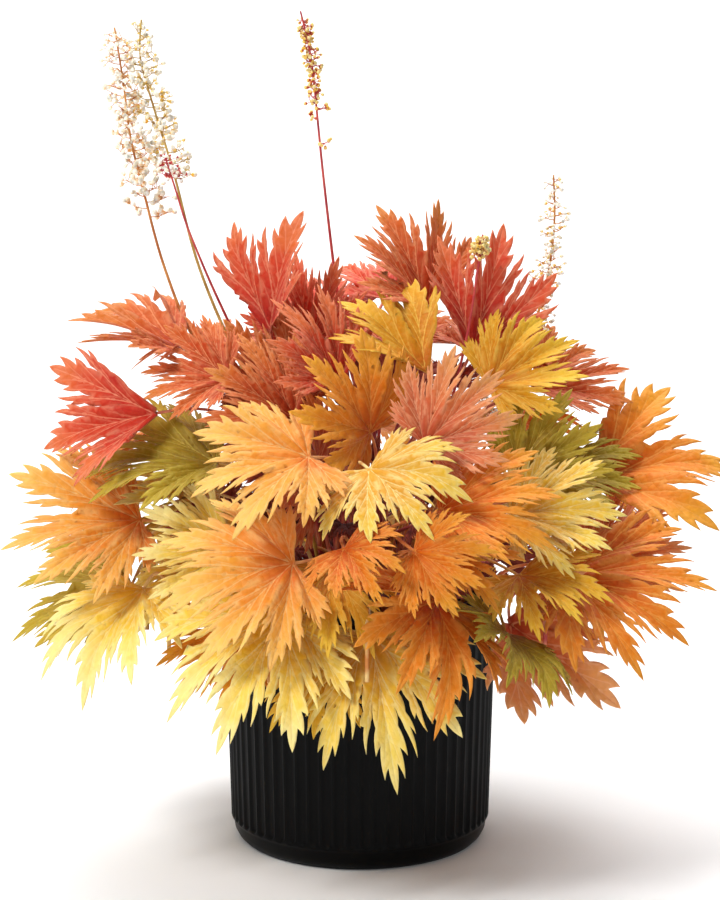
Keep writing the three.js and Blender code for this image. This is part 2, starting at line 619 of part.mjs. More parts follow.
/** Plants the leaves one by one where they stand clear of the rest; leaves of one name share a root. */
function plantLeaves(placed, holes) {
  const leaves = leafList();
  const near = (n) => holes.some((h) => Math.hypot(h.x - rootAt(n).x, h.y - rootAt(n).y) < STALK_ROOM);
  const free = [...Array(leaves.length + SPARE_ROOTS).keys()].filter((n) => !near(n));
  const nodes = new Map();
  leaves.forEach((leaf) => {
    const partner = nodes.get(leaf.name);
    leaf.root = partner ? partner.root : takeRoot(leaf.hub, free);
    const body = placeLeaf(leaf, placed.filter((other) => other.name !== leaf.name));
    placed.push({ name: leaf.name, body, box: body.boundingBox() });
    nodes.set(leaf.name, { ...leaf, body: partner ? partner.body.add(body) : body });
  });
  return nodes;
}

/** Builds every piece: pot, crown and stalks first, then the leaves, then the soil with their holes. */
function heuchera() {
  const plant = new THREE.Group();
  const placed = [];
  const keep = (body) => placed.push({ body, box: body.boundingBox() });
  const pot = potBody();
  const crown = crownBody();
  plant.add(meshOf("pot", pot, COLOURS.pot, 0.45), meshOf("crown", crown, COLOURS.crown, 0.9));
  keep(pot);
  keep(crown);

  const holes = [];
  STALKS.forEach((stalk) => {
    const body = stalkBody(stalk);
    keep(body);
    holes.push({ x: stalk.points[0][0], y: stalk.points[0][1], radius: STALK_RADIUS[0] + 2 * GAP });
    plant.add(meshOf(stalk.name, body, STALK_TONES[stalk.tone], 0.7));
  });
  plantLeaves(placed, holes).forEach((leaf, name) => {
    holes.push({ x: leaf.root.x, y: leaf.root.y, radius: BASE_WIDTH * Math.SQRT2 + 2 * GAP });
    plant.add(meshOf(name, leaf.body, TONES[leaf.tone], 0.6));
  });
  plant.add(meshOf("soil", soilBody(holes), COLOURS.soil, 0.95));
  return plant;
}

export default heuchera();
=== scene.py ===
"""Potted heuchera, dressed: cut, veined autumn leaves, stalks of small bells, soil and a ribbed pot.

The scene is in metres, +Z up, with the origin at the centre of the pot's flat underside; -Y is the front.
Sizes of the plant, the soil and the pot are written in millimetres and turned into metres where a mesh is
made. Those of the studio are in metres.
"""

import logging
import math
import random
from collections.abc import Callable
from dataclasses import dataclass, replace
from enum import Enum

import bpy
import numpy as np
from mathutils import Matrix, Vector, geometry, kdtree

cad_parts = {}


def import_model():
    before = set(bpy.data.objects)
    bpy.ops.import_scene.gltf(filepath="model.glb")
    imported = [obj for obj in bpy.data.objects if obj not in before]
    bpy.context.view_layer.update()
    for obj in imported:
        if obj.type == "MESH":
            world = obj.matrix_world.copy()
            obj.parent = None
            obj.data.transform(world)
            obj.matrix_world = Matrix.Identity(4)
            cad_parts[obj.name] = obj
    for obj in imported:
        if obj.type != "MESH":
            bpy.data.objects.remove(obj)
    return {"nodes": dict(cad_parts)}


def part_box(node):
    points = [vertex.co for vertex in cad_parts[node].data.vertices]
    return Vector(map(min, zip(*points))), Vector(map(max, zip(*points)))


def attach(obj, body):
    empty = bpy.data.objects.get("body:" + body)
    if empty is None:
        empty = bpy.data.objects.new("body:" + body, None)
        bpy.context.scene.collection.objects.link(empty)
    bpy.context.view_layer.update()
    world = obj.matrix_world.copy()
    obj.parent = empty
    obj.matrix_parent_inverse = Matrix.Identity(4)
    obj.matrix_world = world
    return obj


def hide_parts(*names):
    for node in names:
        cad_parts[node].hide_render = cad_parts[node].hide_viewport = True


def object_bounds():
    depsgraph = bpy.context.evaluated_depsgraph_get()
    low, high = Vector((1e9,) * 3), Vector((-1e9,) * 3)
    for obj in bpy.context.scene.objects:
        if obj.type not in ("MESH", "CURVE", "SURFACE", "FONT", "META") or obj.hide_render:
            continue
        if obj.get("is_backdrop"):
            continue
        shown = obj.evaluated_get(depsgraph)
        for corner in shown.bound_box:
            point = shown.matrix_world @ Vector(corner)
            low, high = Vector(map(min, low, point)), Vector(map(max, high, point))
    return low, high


log = logging.getLogger("heuchera")

MM = 0.001
GOLDEN_ANGLE = math.pi * (3 - math.sqrt(5))
SOIL_TOP = 150.0
HOLE_DEPTH = 7.0

Socket = bpy.types.NodeSocket
Colour = tuple[float, float, float, float]
Point = tuple[float, float, float]
Run = list[tuple[Vector, float]]
Skins = tuple[bpy.types.Material, bpy.types.Material, bpy.types.Material]

# keeps a division from having nothing to divide by
TINY = 1e-12


# ---------------------------------------------------------------- finishes


def linear(code: str) -> Colour:
    """Linear colour of a web colour code such as e99a50."""
    shares = [int(code[i : i + 2], 16) / 255 for i in (0, 2, 4)]
    return (*[((c + 0.055) / 1.055) ** 2.4 if c > 0.04045 else c / 12.92 for c in shares], 1.0)


class Shader:
    """A material being put together: one Principled surface and the nodes that feed it."""

    STREAKS_ACROSS = 9.0
    STREAKS_ALONG = 2.2
    STREAKS_BY_TINT = 90.0
    PUCKERS_PER_METRE = 340.0
    PUCKER_ROUNDNESS = 2.0

    def __init__(self, name: str, roughness: float, specular: float) -> None:
        """Starts a material.

        Args:
            name: the material's name.
            roughness: roughness of the surface.
            specular: strength of its gloss.
        """
        self.material = bpy.data.materials.new(name)
        self.material.use_nodes = True
        self.tree = self.material.node_tree
        self.skin = self.tree.nodes["Principled BSDF"]
        self.surface({"Roughness": roughness, "Specular IOR Level": specular})

    def surface(self, values: dict[str, object]) -> None:
        """Sets or links sockets of the surface by their names."""
        for name, value in values.items():
            self.feed(self.skin.inputs[name], value)

    def node(self, kind: str, **settings: object) -> bpy.types.Node:
        """Adds a node.

        Args:
            kind: the node's type.
            settings: properties to set on it.

        Returns:
            The new node.
        """
        made = self.tree.nodes.new(kind)
        for key, value in settings.items():
            setattr(made, key, value)
        return made

    def feed(self, socket: Socket, value: object) -> None:
        """Links a socket to another, or sets its value.

        Args:
            socket: the input to feed.
            value: an output socket, or a plain value.
        """
        if isinstance(value, bpy.types.NodeSocket):
            self.tree.links.new(value, socket)
        else:
            socket.default_value = value

    def attribute(self, name: str) -> Socket:
        """The piece's own attribute of this name."""
        return self.node("ShaderNodeAttribute", attribute_name=name).outputs["Fac"]

    def scaled(self, name: str, factor: float) -> Socket:
        """The piece's own attribute of this name, times a factor."""
        return self.reckon("MULTIPLY", self.attribute(name), factor)

    def place(self) -> Socket:
        """The place of the point on its object."""
        return self.node("ShaderNodeTexCoord").outputs["Object"]

    def noise(self, scale: float, detail: float, place: Socket | None = None) -> Socket:
        """Noise that is fixed to the object, or to other coordinates.

        Args:
            scale: blotches in one unit of the coordinates, which is a metre on the object.
            detail: how many finer layers lie on it.
            place: the other coordinates.

        Returns:
            The noise's value.
        """
        made = self.node("ShaderNodeTexNoise")
        self.feed(made.inputs["Vector"], self.place() if place is None else place)
        self.feed(made.inputs["Scale"], scale)
        self.feed(made.inputs["Detail"], detail)
        return made.outputs["Fac"]

    def streaks(self) -> Socket:
        """Noise drawn out along a leaf's ribs, with other streaks on each leaf.

        Returns:
            The noise's value.
        """
        place = self.node("ShaderNodeCombineXYZ")
        self.feed(place.inputs[0], self.scaled("ray", self.STREAKS_ACROSS))
        self.feed(place.inputs[1], self.scaled("reach", self.STREAKS_ALONG))
        self.feed(place.inputs[2], self.scaled("tint", self.STREAKS_BY_TINT))
        return self.noise(scale=1.0, detail=2.0, place=place.outputs[0])

    def puckers(self) -> Socket:
        """Small rounded swellings of a quilted leaf.

        Returns:
            Their height, from 0 to 1.
        """
        cells = self.node("ShaderNodeTexVoronoi")
        self.feed(cells.inputs["Vector"], self.place())
        self.feed(cells.inputs["Scale"], self.PUCKERS_PER_METRE)
        hollow = self.reckon("POWER", cells.outputs["Distance"], self.PUCKER_ROUNDNESS)
        return self.reckon("SUBTRACT", 1.0, hollow)

    def reckon(self, way: str, first: object, second: object, clamp: bool = False) -> Socket:
        """Joins two values.

        Args:
            way: the sum to do, such as ADD.
            first: the first value or socket.
            second: the second value or socket.
            clamp: whether the result is kept between 0 and 1.

        Returns:
            The result.
        """
        made = self.node("ShaderNodeMath", operation=way, use_clamp=clamp)
        self.feed(made.inputs[0], first)
        self.feed(made.inputs[1], second)
        return made.outputs[0]

    def ramp(self, value: Socket, stops: list[tuple[float, Colour]]) -> Socket:
        """Colours along a value.

        Args:
            value: the value that picks the colour.
            stops: places from 0 to 1, each with its colour.

        Returns:
            The colour.
        """
        made = self.node("ShaderNodeValToRGB")
        band = made.color_ramp
        while len(band.elements) < len(stops):
            band.elements.new(0.5)
        for element, (place, colour) in zip(band.elements, stops):
            element.position = place
            element.color = colour
        self.feed(made.inputs["Fac"], value)
        return made.outputs["Color"]

    def mix(self, amount: object, first: object, second: object, way: str = "MIX") -> Socket:
        """Mixes two colours.

        Args:
            amount: share of the second colour.
            first: the first colour or socket.
            second: the second colour or socket.
            way: how they are mixed.

        Returns:
            The mixed colour.
        """
        made = self.node("ShaderNodeMix", data_type="RGBA", blend_type=way)
        self.feed(made.inputs[0], amount)
        self.feed(made.inputs[6], first)
        self.feed(made.inputs[7], second)
        return made.outputs[2]

    def relief(self, height: Socket, strength: float, depth: float) -> None:
        """Gives the surface a fine relief.

        Args:
            height: the relief's height, from 0 to 1.
            strength: how much of it shows.
            depth: its depth in metres.
        """
        bump = self.node("ShaderNodeBump")
        self.feed(bump.inputs["Strength"], strength)
        self.feed(bump.inputs["Distance"], depth)
        self.feed(bump.inputs["Height"], height)
        self.surface({"Normal": bump.outputs["Normal"]})


def grey(level: float) -> Colour:
    """A neutral colour of this level."""
    return (level, level, level, 1.0)


class Tone(Enum):
    """Colour group of a leaf; the value is its material slot."""

    RED = "leaf_red"
    RUST = "leaf_rust"
    SALMON = "leaf_salmon"
    ORANGE = "leaf_orange"
    APRICOT = "leaf_apricot"
    GOLD = "leaf_gold"
    YELLOW = "leaf_yellow"
    OLIVE = "leaf_olive"


@dataclass(frozen=True)
class LeafFinish:
    """Colours of a leaf from its hub to its tips, of its veins, underside and petiole."""

    STOPS = (0.05, 0.32, 0.62, 0.9)
    DRIFT = 0.9
    STREAKS = 0.3
    PALER = {"vein": 0.85, "edge": 0.5}
    MOTTLE = 0.4
    PALER_BELOW = 0.7
    BLOTCHES_BELOW = 0.6

    hub: str
    middle: str
    outer: str
    tip: str
    vein: str
    under: str
    petiole: str

    def face(self, name: str) -> bpy.types.Material:
        """Upper side: colours run from the hub to the tips, with paler veins and margin.

        Args:
            name: the material's name.

        Returns:
            The material.
        """
        shader = Shader(name, roughness=0.55, specular=0.2)
        drift = shader.reckon("SUBTRACT", shader.noise(30, detail=2), 0.5)
        drift = shader.reckon("MULTIPLY", drift, self.DRIFT)
        place = shader.reckon("ADD", shader.attribute("reach"), shader.attribute("tint"))
        place = shader.reckon("ADD", place, drift, clamp=True)
        codes = (self.hub, self.middle, self.outer, self.tip)
        colour = shader.ramp(place, [(at, linear(code)) for at, code in zip(self.STOPS, codes)])
        streaks = shader.ramp(shader.streaks(), [(0.38, linear(self.middle)), (0.62, linear(self.outer))])
        colour = shader.mix(self.STREAKS, colour, streaks)
        for mark, strength in self.PALER.items():
            colour = shader.mix(shader.scaled(mark, strength), colour, linear(self.vein))
        mottle = shader.ramp(shader.noise(260, detail=4), [(0.3, grey(0.84)), (0.6, grey(1.0))])
        colour = shader.mix(self.MOTTLE, colour, mottle, "MULTIPLY")
        # painted shade: the deeper a point lies inside the mound the darker it is, times each leaf's own
        # small random darkening
        colour = shader.mix(1.0, colour, shader.attribute("shade"), "MULTIPLY")
        shader.surface({"Base Color": colour})
        self._glow(shader)
        shader.relief(shader.puckers(), strength=0.5, depth=0.0008)
        return shader.material

    def back(self, name: str) -> bpy.types.Material:
        """Underside: one duller colour with paler veins.

        Args:
            name: the material's name.

        Returns:
            The material.
        """
        shader = Shader(name, roughness=0.6, specular=0.25)
        colour = shader.mix(shader.scaled("vein", self.PALER_BELOW), linear(self.under), linear(self.vein))
        blotches = shader.ramp(shader.noise(160, detail=4), [(0.3, grey(0.7)), (0.65, grey(1.0))])
        shader.surface({"Base Color": shader.mix(self.BLOTCHES_BELOW, colour, blotches, "MULTIPLY")})
        self._glow(shader)
        shader.relief(shader.noise(1500, detail=2), strength=0.35, depth=0.0002)
        return shader.material

    def stem(self, name: str) -> bpy.types.Material:
        """Petiole: blotched and finely rough.

        Args:
            name: the material's name.

        Returns:
            The material.
        """
        shader = Shader(name, roughness=0.5, specular=0.35)
        stops = [(0.35, linear(self.petiole)), (0.75, linear(self.vein))]
        shader.surface({"Base Color": shader.ramp(shader.noise(90, detail=4), stops)})
        shader.relief(shader.noise(1800, detail=2), strength=0.4, depth=0.0002)
        return shader.material

    def skins(self, name: str) -> Skins:
        """Face, underside and petiole materials of this finish."""
        return self.face(name), self.back(name + "_underside"), self.stem(name + "_petiole")

    @staticmethod
    def _glow(shader: Shader) -> None:
        """Lets some light into the thin blade and gives it a faint sheen.

        Args:
            shader: the blade's material.
        """
        shader.surface({
            "Subsurface Weight": 0.08,
            "Subsurface Radius": (1.0, 0.45, 0.2),
            "Subsurface Scale": 0.003,
            "Sheen Weight": 0.03,
            "Sheen Roughness": 0.5,
        })


# hub, middle, outer, tip, vein, underside and petiole
FINISHES = {
    Tone.RED: LeafFinish("a81a18", "c42a1a", "d44420", "e07432", "f09c78", "bc4026", "b0303c"),
    Tone.RUST: LeafFinish("a62a10", "be4214", "ce5e1c", "dc8c2c", "ec9e6c", "b44c26", "b03c44"),
    Tone.SALMON: LeafFinish("b83a2a", "d66036", "e28242", "eeaa5c", "f6b488", "c85c3c", "c05050"),
    Tone.ORANGE: LeafFinish("bc3408", "d66008", "e4820e", "f0ae2c", "f2a850", "c45c1c", "c8603e"),
    Tone.APRICOT: LeafFinish("dc5414", "f08a24", "faae3e", "fdd870", "fac880", "dc7c30", "d07048"),
    Tone.GOLD: LeafFinish("b8500c", "cc7c08", "dc9e14", "eec434", "ecc054", "bc7420", "bc6038"),
    Tone.YELLOW: LeafFinish("dc8c18", "eeb420", "f8d24c", "fff0a4", "fce8a0", "d89a30", "c88040"),
    Tone.OLIVE: LeafFinish("8c4c0e", "8a6c08", "a48a14", "ccae34", "c8b048", "a46822", "a86034"),
}


@dataclass(frozen=True)
class PlainFinish:
    """A mottled, finely rough surface of two colours; sizes are in metres, noise in blotches per metre."""

    RELIEF = 0.5

    name: str
    dark: str
    light: str
    roughness: float
    blotches: float
    grain: float
    depth: float
    specular: float = 0.4
    glow: float = 0.0

    def material(self) -> bpy.types.Material:
        """Builds the material.

        Returns:
            The material.
        """
        shader = Shader(self.name, self.roughness, self.specular)
        stops = [(0.36, linear(self.dark)), (0.64, linear(self.light))]
        shader.surface({
            "Base Color": shader.ramp(shader.noise(self.blotches, detail=5), stops),
            "Subsurface Weight": self.glow,
            "Subsurface Radius": (1.0, 1.0, 1.0),
            "Subsurface Scale": 0.004,
        })
        shader.relief(shader.noise(self.grain, detail=3), self.RELIEF, self.depth)
        return shader.material


# name, darker and lighter colour, roughness, blotches, grain, depth of the grain, then specular and glow
POT_FINISH = PlainFinish("pot_satin_black", "020202", "050505", 0.44, 30, 900, 0.00008, 0.09)
SOIL_FINISH = PlainFinish("damp_potting_mix", "1c120c", "3a281c", 0.95, 240, 700, 0.001)
CROWN_FINISH = PlainFinish("woody_crown", "3c2416", "6e4630", 0.85, 260, 900, 0.0006)
TAN_FINISH = PlainFinish("stalk_tan_skin", "b4682c", "dc9c54", 0.55, 120, 1600, 0.0002)
OLIVE_FINISH = PlainFinish("stalk_olive_skin", "a88034", "ccac5c", 0.55, 120, 1600, 0.0002)
RED_FINISH = PlainFinish("stalk_red_skin", "a82838", "cf5048", 0.5, 120, 1600, 0.0002)
CREAM_FINISH = PlainFinish("bell_cream", "ffefc8", "fffef4", 0.7, 500, 1500, 0.0001, 0.2, 0.6)
BLUSH_FINISH = PlainFinish("bell_blush", "fab480", "fff2cc", 0.7, 500, 1500, 0.0001, 0.2, 0.6)
BUD_FINISH = PlainFinish("bud_yellow", "ecb040", "fde49c", 0.7, 300, 1500, 0.0001, 0.2, 0.6)
BRICK_FINISH = PlainFinish("bud_brick", "a83820", "d87848", 0.7, 300, 1500, 0.0001, 0.2, 0.2)


# ---------------------------------------------------------------- modelling helpers


def select_only(*objects: bpy.types.Object) -> None:
    """Selects just these objects; the first is the active one."""
    bpy.ops.object.select_all(action="DESELECT")
    for piece in objects:
        piece.select_set(True)
    bpy.context.view_layer.objects.active = objects[0]


def added(operator: Callable[..., set[str]], **settings: object) -> bpy.types.Object:
    """Adds a primitive, with nothing else selected.

    Args:
        operator: the operator that adds it.
        settings: its sizes and place.

    Returns:
        The primitive.
    """
    bpy.ops.object.select_all(action="DESELECT")
    operator(**settings)
    return bpy.context.object


def shown(name: str, data: bpy.types.ID) -> bpy.types.Object:
    """Puts a mesh, a lamp or a camera into the scene.

    Args:
        name: the new object's name.
        data: the mesh, lamp or camera.

    Returns:
        The new object.
    """
    made = bpy.data.objects.new(name, data)
    bpy.context.scene.collection.objects.link(made)
    return made


def coat(piece: bpy.types.Object, *materials: bpy.types.Material) -> None:
    """Gives a piece its materials, in this order."""
    for material in materials:
        piece.data.materials.append(material)


def leave_edit() -> None:
    """Turns all faces of the piece in edit mode outwards and leaves edit mode."""
    bpy.ops.mesh.select_all(action="SELECT")
    bpy.ops.mesh.normals_make_consistent(inside=False)
    bpy.ops.object.mode_set(mode="OBJECT")


def joined(objects: list[bpy.types.Object], name: str) -> bpy.types.Object:
    """Joins pieces into one.

    Args:
        objects: the pieces.
        name: the new piece's name.

    Returns:
        The one piece.
    """
    select_only(*objects)
    if len(objects) > 1:
        bpy.ops.object.join()
    objects[0].name = name
    objects[0].data.name = name
    return objects[0]


def apply_modifier(piece: bpy.types.Object, kind: str, **settings: object) -> None:
    """Adds a modifier and applies it.

    Args:
        piece: the piece to change.
        kind: the modifier's type.
        settings: properties to set on it.
    """
    select_only(piece)
    bpy.ops.object.modifier_add(type=kind)
    modifier = piece.modifiers[-1]
    for key, value in settings.items():
        setattr(modifier, key, value)
    bpy.ops.object.modifier_apply(modifier=modifier.name)


def settle(piece: bpy.types.Object) -> None:
    """Puts a piece's place into its mesh, so that its object sits at the origin."""
    piece.data.transform(piece.matrix_world)
    piece.matrix_world = Matrix.Identity(4)


def dress(piece: bpy.types.Object, slot: str, *nodes: str) -> None:
    """Ties a finished piece to the body and hides the nodes that it stands for.

    Args:
        piece: the finished piece.
        slot: the piece's material slot; not used.
        nodes: the CAD nodes that it replaces.
    """
    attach(piece, "root")
    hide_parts(*nodes)
    log.info("%s: %d faces", piece.name, len(piece.data.polygons))


def coordinates(mesh: bpy.types.Mesh) -> np.ndarray:
    """Corner points of a mesh, one row each."""
    flat = np.zeros(len(mesh.vertices) * 3)
    mesh.vertices.foreach_get("co", flat)
    return flat.reshape(-1, 3)


def write_coordinates(mesh: bpy.types.Mesh, points: np.ndarray) -> None:
    """Moves a mesh's corner points.

    Args:
        mesh: the mesh.
        points: one row for each corner point.
    """
    mesh.vertices.foreach_set("co", points.astype(np.float32).ravel())
    mesh.update()


def tubes(name: str, runs: list[Run], resolution: int) -> bpy.types.Object:
    """Round stems through points, closed at both ends.

    Args:
        name: the piece's name.
        runs: for each stem, its points in millimetres, each with its radius in millimetres.
        resolution: steps between two points.

    Returns:
        The stems as one mesh.
    """
    piece = added(bpy.ops.curve.primitive_bezier_curve_add)
    curve = piece.data
    curve.splines.clear()
    curve.dimensions = "3D"
    curve.resolution_u = resolution
    curve.bevel_depth = MM
    curve.bevel_resolution = 1
    curve.use_fill_caps = True
    for run in runs:
        spline = curve.splines.new("BEZIER")
        spline.bezier_points.add(len(run) - 1)
        for knot, (point, radius) in zip(spline.bezier_points, run):
            knot.co = point * MM
            knot.radius = radius
            knot.handle_left_type = knot.handle_right_type = "AUTO"
    select_only(piece)
    bpy.ops.object.convert(target="MESH")
    piece = bpy.context.object
    piece.name = name
    piece.data.shade_smooth()
    return piece


def scattered(model: bpy.types.Object, places: list[Matrix]) -> list[bpy.types.Object]:
    """Copies of a small model, each with its own mesh.

    Args:
        model: the model, which is removed afterwards.
        places: where each copy goes.

    Returns:
        The copies.
    """
    copies = []
    for place in places:
        mesh = model.data.copy()
        mesh.transform(place)
        copies.append(shown(model.name, mesh))
    bpy.data.objects.remove(model)
    return copies


def facing(direction: Vector) -> Matrix:
    """Turn that brings +Z onto a direction."""
    return direction.to_track_quat("Z", "Y").to_matrix().to_4x4()


# ---------------------------------------------------------------- leaf outline and vein net


@dataclass(frozen=True)
class Lobe:
    """One lobe: angles in degrees, and reaches from the hub as shares of the blade's length."""

    SMALL = 0.6

    axis: float
    reach: float
    low: float
    high: float
    low_cut: float
    high_cut: float

    @property
    def is_small(self) -> bool:
        """Whether it is one of the two small lobes beside the petiole."""
        return self.reach < self.SMALL

    def polar(self, share: float, reach: float, side: int) -> np.ndarray:
        """Flat place of a point of the lobe.

        Args:
            share: its angle from the rib, as a share of the lobe's half width.
            reach: its distance from the hub, as a share of the rib.
            side: -1 or 1.

        Returns:
            The point, for a blade of length 1.
        """
        angle = math.radians(self.axis + side * share * (self.low if side < 0 else self.high))
        return np.array((math.cos(angle), math.sin(angle))) * reach * self.reach


LOBES = (
    Lobe(-116, 0.55, 22, 16, 0.12, 0.2),
    Lobe(-79, 0.82, 21, 19, 0.2, 0.28),
    Lobe(-40, 0.95, 20, 20, 0.28, 0.34),
    Lobe(0, 1, 20, 20, 0.34, 0.34),
    Lobe(40, 0.95, 20, 20, 0.34, 0.28),
    Lobe(79, 0.82, 19, 21, 0.28, 0.2),
    Lobe(116, 0.55, 16, 22, 0.2, 0.12),
)
# one side of a lobe, from the cut to the tip: share of the half width and share of the rib
BIG_SIDE = (
    (0.94, 0.48), (0.89, 0.61), (0.97, 0.74), (0.84, 0.7), (0.78, 0.85), (0.64, 0.71), (0.56, 0.63),
    (0.5, 0.54), (0.43, 0.68), (0.5, 0.83), (0.32, 0.775), (0.3, 0.925), (0.15, 0.865),
)
SMALL_SIDE = (
    (0.92, 0.48), (0.87, 0.59), (0.96, 0.74), (0.74, 0.68), (0.66, 0.87), (0.38, 0.73), (0.33, 0.9),
    (0.15, 0.84),
)
# side veins: start, bend and end, each a share of the half width and of the rib, then the strength
BIG_VEINS = (
    ((0, 0.1), (0.6, 0.26), (0.9, 0.44), 0.5),
    ((0, 0.2), (0.6, 0.42), (0.785, 0.8), 0.9),
    ((0.61, 0.48), (0.8, 0.57), (0.975, 0.715), 0.6),
    ((0, 0.3), (0.32, 0.43), (0.5, 0.52), 0.4),
    ((0, 0.4), (0.3, 0.58), (0.495, 0.8), 0.8),
    ((0, 0.56), (0.16, 0.64), (0.33, 0.75), 0.4),
    ((0, 0.62), (0.14, 0.77), (0.29, 0.9), 0.7),
    ((0, 0.8), (0.05, 0.84), (0.12, 0.88), 0.4),
)
SMALL_VEINS = (
    ((0, 0.16), (0.6, 0.38), (0.96, 0.7), 0.6),
    ((0, 0.36), (0.4, 0.55), (0.65, 0.84), 0.7),
    ((0, 0.6), (0.18, 0.75), (0.325, 0.87), 0.6),
)
# the notch at the petiole: share of the blade's length and angle in degrees
BASE_NOTCH = ((0.05, 152.0), (0.022, 180.0), (0.05, -152.0))


def within(points: np.ndarray, outline: np.ndarray) -> np.ndarray:
    """Which points lie inside an outline.

    Args:
        points: flat points.
        outline: the outline's corners, in order.

    Returns:
        One truth value for each point.
    """
    inside = np.zeros(len(points), bool)
    for (x1, y1), (x2, y2) in zip(outline, np.roll(outline, -1, axis=0)):
        spans = (y1 > points[:, 1]) != (y2 > points[:, 1])
        rise = y2 - y1 if y2 != y1 else TINY
        crossing = x1 + (points[:, 1] - y1) * (x2 - x1) / rise
        inside ^= spans & (points[:, 0] < crossing)
    return inside


def nearest(points: np.ndarray, samples: np.ndarray) -> tuple[np.ndarray, np.ndarray]:
    """Nearest sample of each point.

    Args:
        points: flat points.
        samples: flat points to measure to.

    Returns:
        The distances, and the samples' numbers.
    """
    tree = kdtree.KDTree(len(samples))
    for number, (x, y) in enumerate(samples):
        tree.insert((x, y, 0), number)
    tree.balance()
    found = [tree.find((x, y, 0)) for x, y in points]
    return np.array([f[2] for f in found]), np.array([f[1] for f in found])


class Cut(Enum):
    """Shape of a blade; the value is how many of the seven lobes it has."""

    WEDGE = 3
    FAN = 5
    FULL = 7


class LeafPattern:
    """A flat blade of length 1 with its hub at the origin: toothed outline, vein net and triangles."""

    GRID = 0.05
    PLAIN_GRID = 0.14
    STEPS_PER_CELL = 1.2
    SHALLOWEST_CUT = 1.02
    CUT_DEEPENS = 0.13
    LOBE_RANGE = (0.93, 1.03)
    TOOTH_STRAY = (0.01, 0.011)
    GRID_STRAY = 0.003
    CLAW = 0.34
    HOLLOW = -0.16
    RIB_ENDS = (0.03, 0.97)
    VEIN_WIDTH = 0.0095
    VEIN_TIP = 0.45
    NARROWEST = 0.275
    FLANK_CLEAR = 0.006
    POINTS_APART = 0.014
    FACETS = (0, 0.2, 0.4, 0.6, 0.8)
    VEIN_FADE = 0.8
    PILLOW = 0.016
    MARGIN = 0.014
    WELD = 1e-5

    def __init__(self, cut: Cut, seed: int, plain: bool = False) -> None:
        """Draws one version of the outline and cuts it into triangles along its veins.

        Args:
            cut: how many lobes it has.
            seed: number that sets this version's small irregularities.
            plain: whether it has ribs but no side veins, and larger triangles.
        """
        self.luck = random.Random(seed)
        self.plain = plain
        self.grid = self.PLAIN_GRID if plain else self.GRID
        self.step = self.grid / self.STEPS_PER_CELL
        self.cut_reach = self.SHALLOWEST_CUT - self.CUT_DEEPENS * (seed % 3)
        spare = (len(LOBES) - cut.value) // 2
        lobes = LOBES[spare : len(LOBES) - spare]
        self.lobes = [replace(lobe, reach=lobe.reach * self.luck.uniform(*self.LOBE_RANGE)) for lobe in lobes]
        self.half_width = self.lobes[-1].axis + self.lobes[-1].high
        self.outline = self._outline()
        self.veins = self._veins()
        self._cut_up()

    def _stray(self, spread: float) -> float:
        """A small random change."""
        return self.luck.gauss(0, spread)

    def _outline(self) -> np.ndarray:
        """Draws the toothed outline.

        Returns:
            Its corners in order, anticlockwise.
        """
        outline = []
        for lobe in self.lobes:
            profile = SMALL_SIDE if lobe.is_small else BIG_SIDE
            for side, cut in ((-1, lobe.low_cut), (1, lobe.high_cut)):
                aside, along = self.TOOTH_STRAY
                teeth = [(s + self._stray(aside), r + self._stray(along)) for s, r in profile]
                corners = [(1.0, cut / lobe.reach * self.cut_reach), *teeth, (0.0, 1.0)]
                run = self._clawed(corners, lobe, side)
                outline += run[:-1] if side < 0 else run[::-1][:-1]
            if lobe is self.lobes[-1]:
                outline.append(lobe.polar(1, lobe.high_cut / lobe.reach, 1))
        notch = [(radius, math.radians(a)) for radius, a in BASE_NOTCH]
        return np.array(outline + [radius * np.array((math.cos(a), math.sin(a))) for radius, a in notch])

    def _clawed(self, corners: list[tuple[float, float]], lobe: Lobe, side: int) -> list[np.ndarray]:
        """Bends the edges of one side of a lobe, so that its teeth point forward like claws.

        Args:
            corners: the side's corners from the cut to the tip.
            lobe: the lobe.
            side: -1 or 1.

        Returns:
            The side's points, still from the cut to the tip.
        """
        points = [lobe.polar(share, reach, side) for share, reach in corners]
        fine = []
        for start, end, (_, low), (_, high) in zip(points, points[1:], corners, corners[1:]):
            run = end - start
            length = float(np.hypot(*run))
            out = np.array((run[1], -run[0])) / max(length, TINY) * -side
            bulge = (self.CLAW if high > low else self.HOLLOW) * length
            steps = max(1, round(length / (0.8 * self.step)))
            fine += [start + run * t + out * bulge * t * (1 - t) for t in (i / steps for i in range(steps))]
        return fine + [points[-1]]

    def _veins(self) -> list[tuple[np.ndarray, float]]:
        """Lays the vein net.

        Returns:
            For each vein its points, from the thick end, and its strength.
        """
        veins = []
        for lobe in self.lobes:
            first, last = self.RIB_ENDS
            shares = np.linspace(first / lobe.reach, last, round(last * lobe.reach / self.step))
            veins.append((np.array([lobe.polar(0, share, 1) for share in shares]), 1.0))
            if self.plain:
                continue
            for side in (-1, 1):
                for start, bend, end, strength in SMALL_VEINS if lobe.is_small else BIG_VEINS:
                    veins.append((self._side_vein(lobe, side, start, bend, end), strength))
        return veins

    def _side_vein(
        self,
        lobe: Lobe,
        side: int,
        start: tuple[float, float],
        bend: tuple[float, float],
        end: tuple[float, float],
    ) -> np.ndarray:
        """Points of one side vein.

        Args:
            lobe: the lobe that it runs in.
            side: -1 or 1.
            start: where it leaves its parent vein.
            bend: where it turns.
            end: where it ends near the margin.

        Returns:
            The points, evenly spread.
        """
        knots = [np.array(k) for k in (start, bend, end)]
        length = np.hypot(*(lobe.polar(*end, side) - lobe.polar(*start, side)))
        points = []
        for t in np.linspace(0, 1, max(3, round(length / self.step))):
            share, reach = knots[0] * (1 - t) ** 2 + knots[1] * 2 * t * (1 - t) + knots[2] * t * t
            points.append(lobe.polar(share, reach, side))
        return np.array(points)

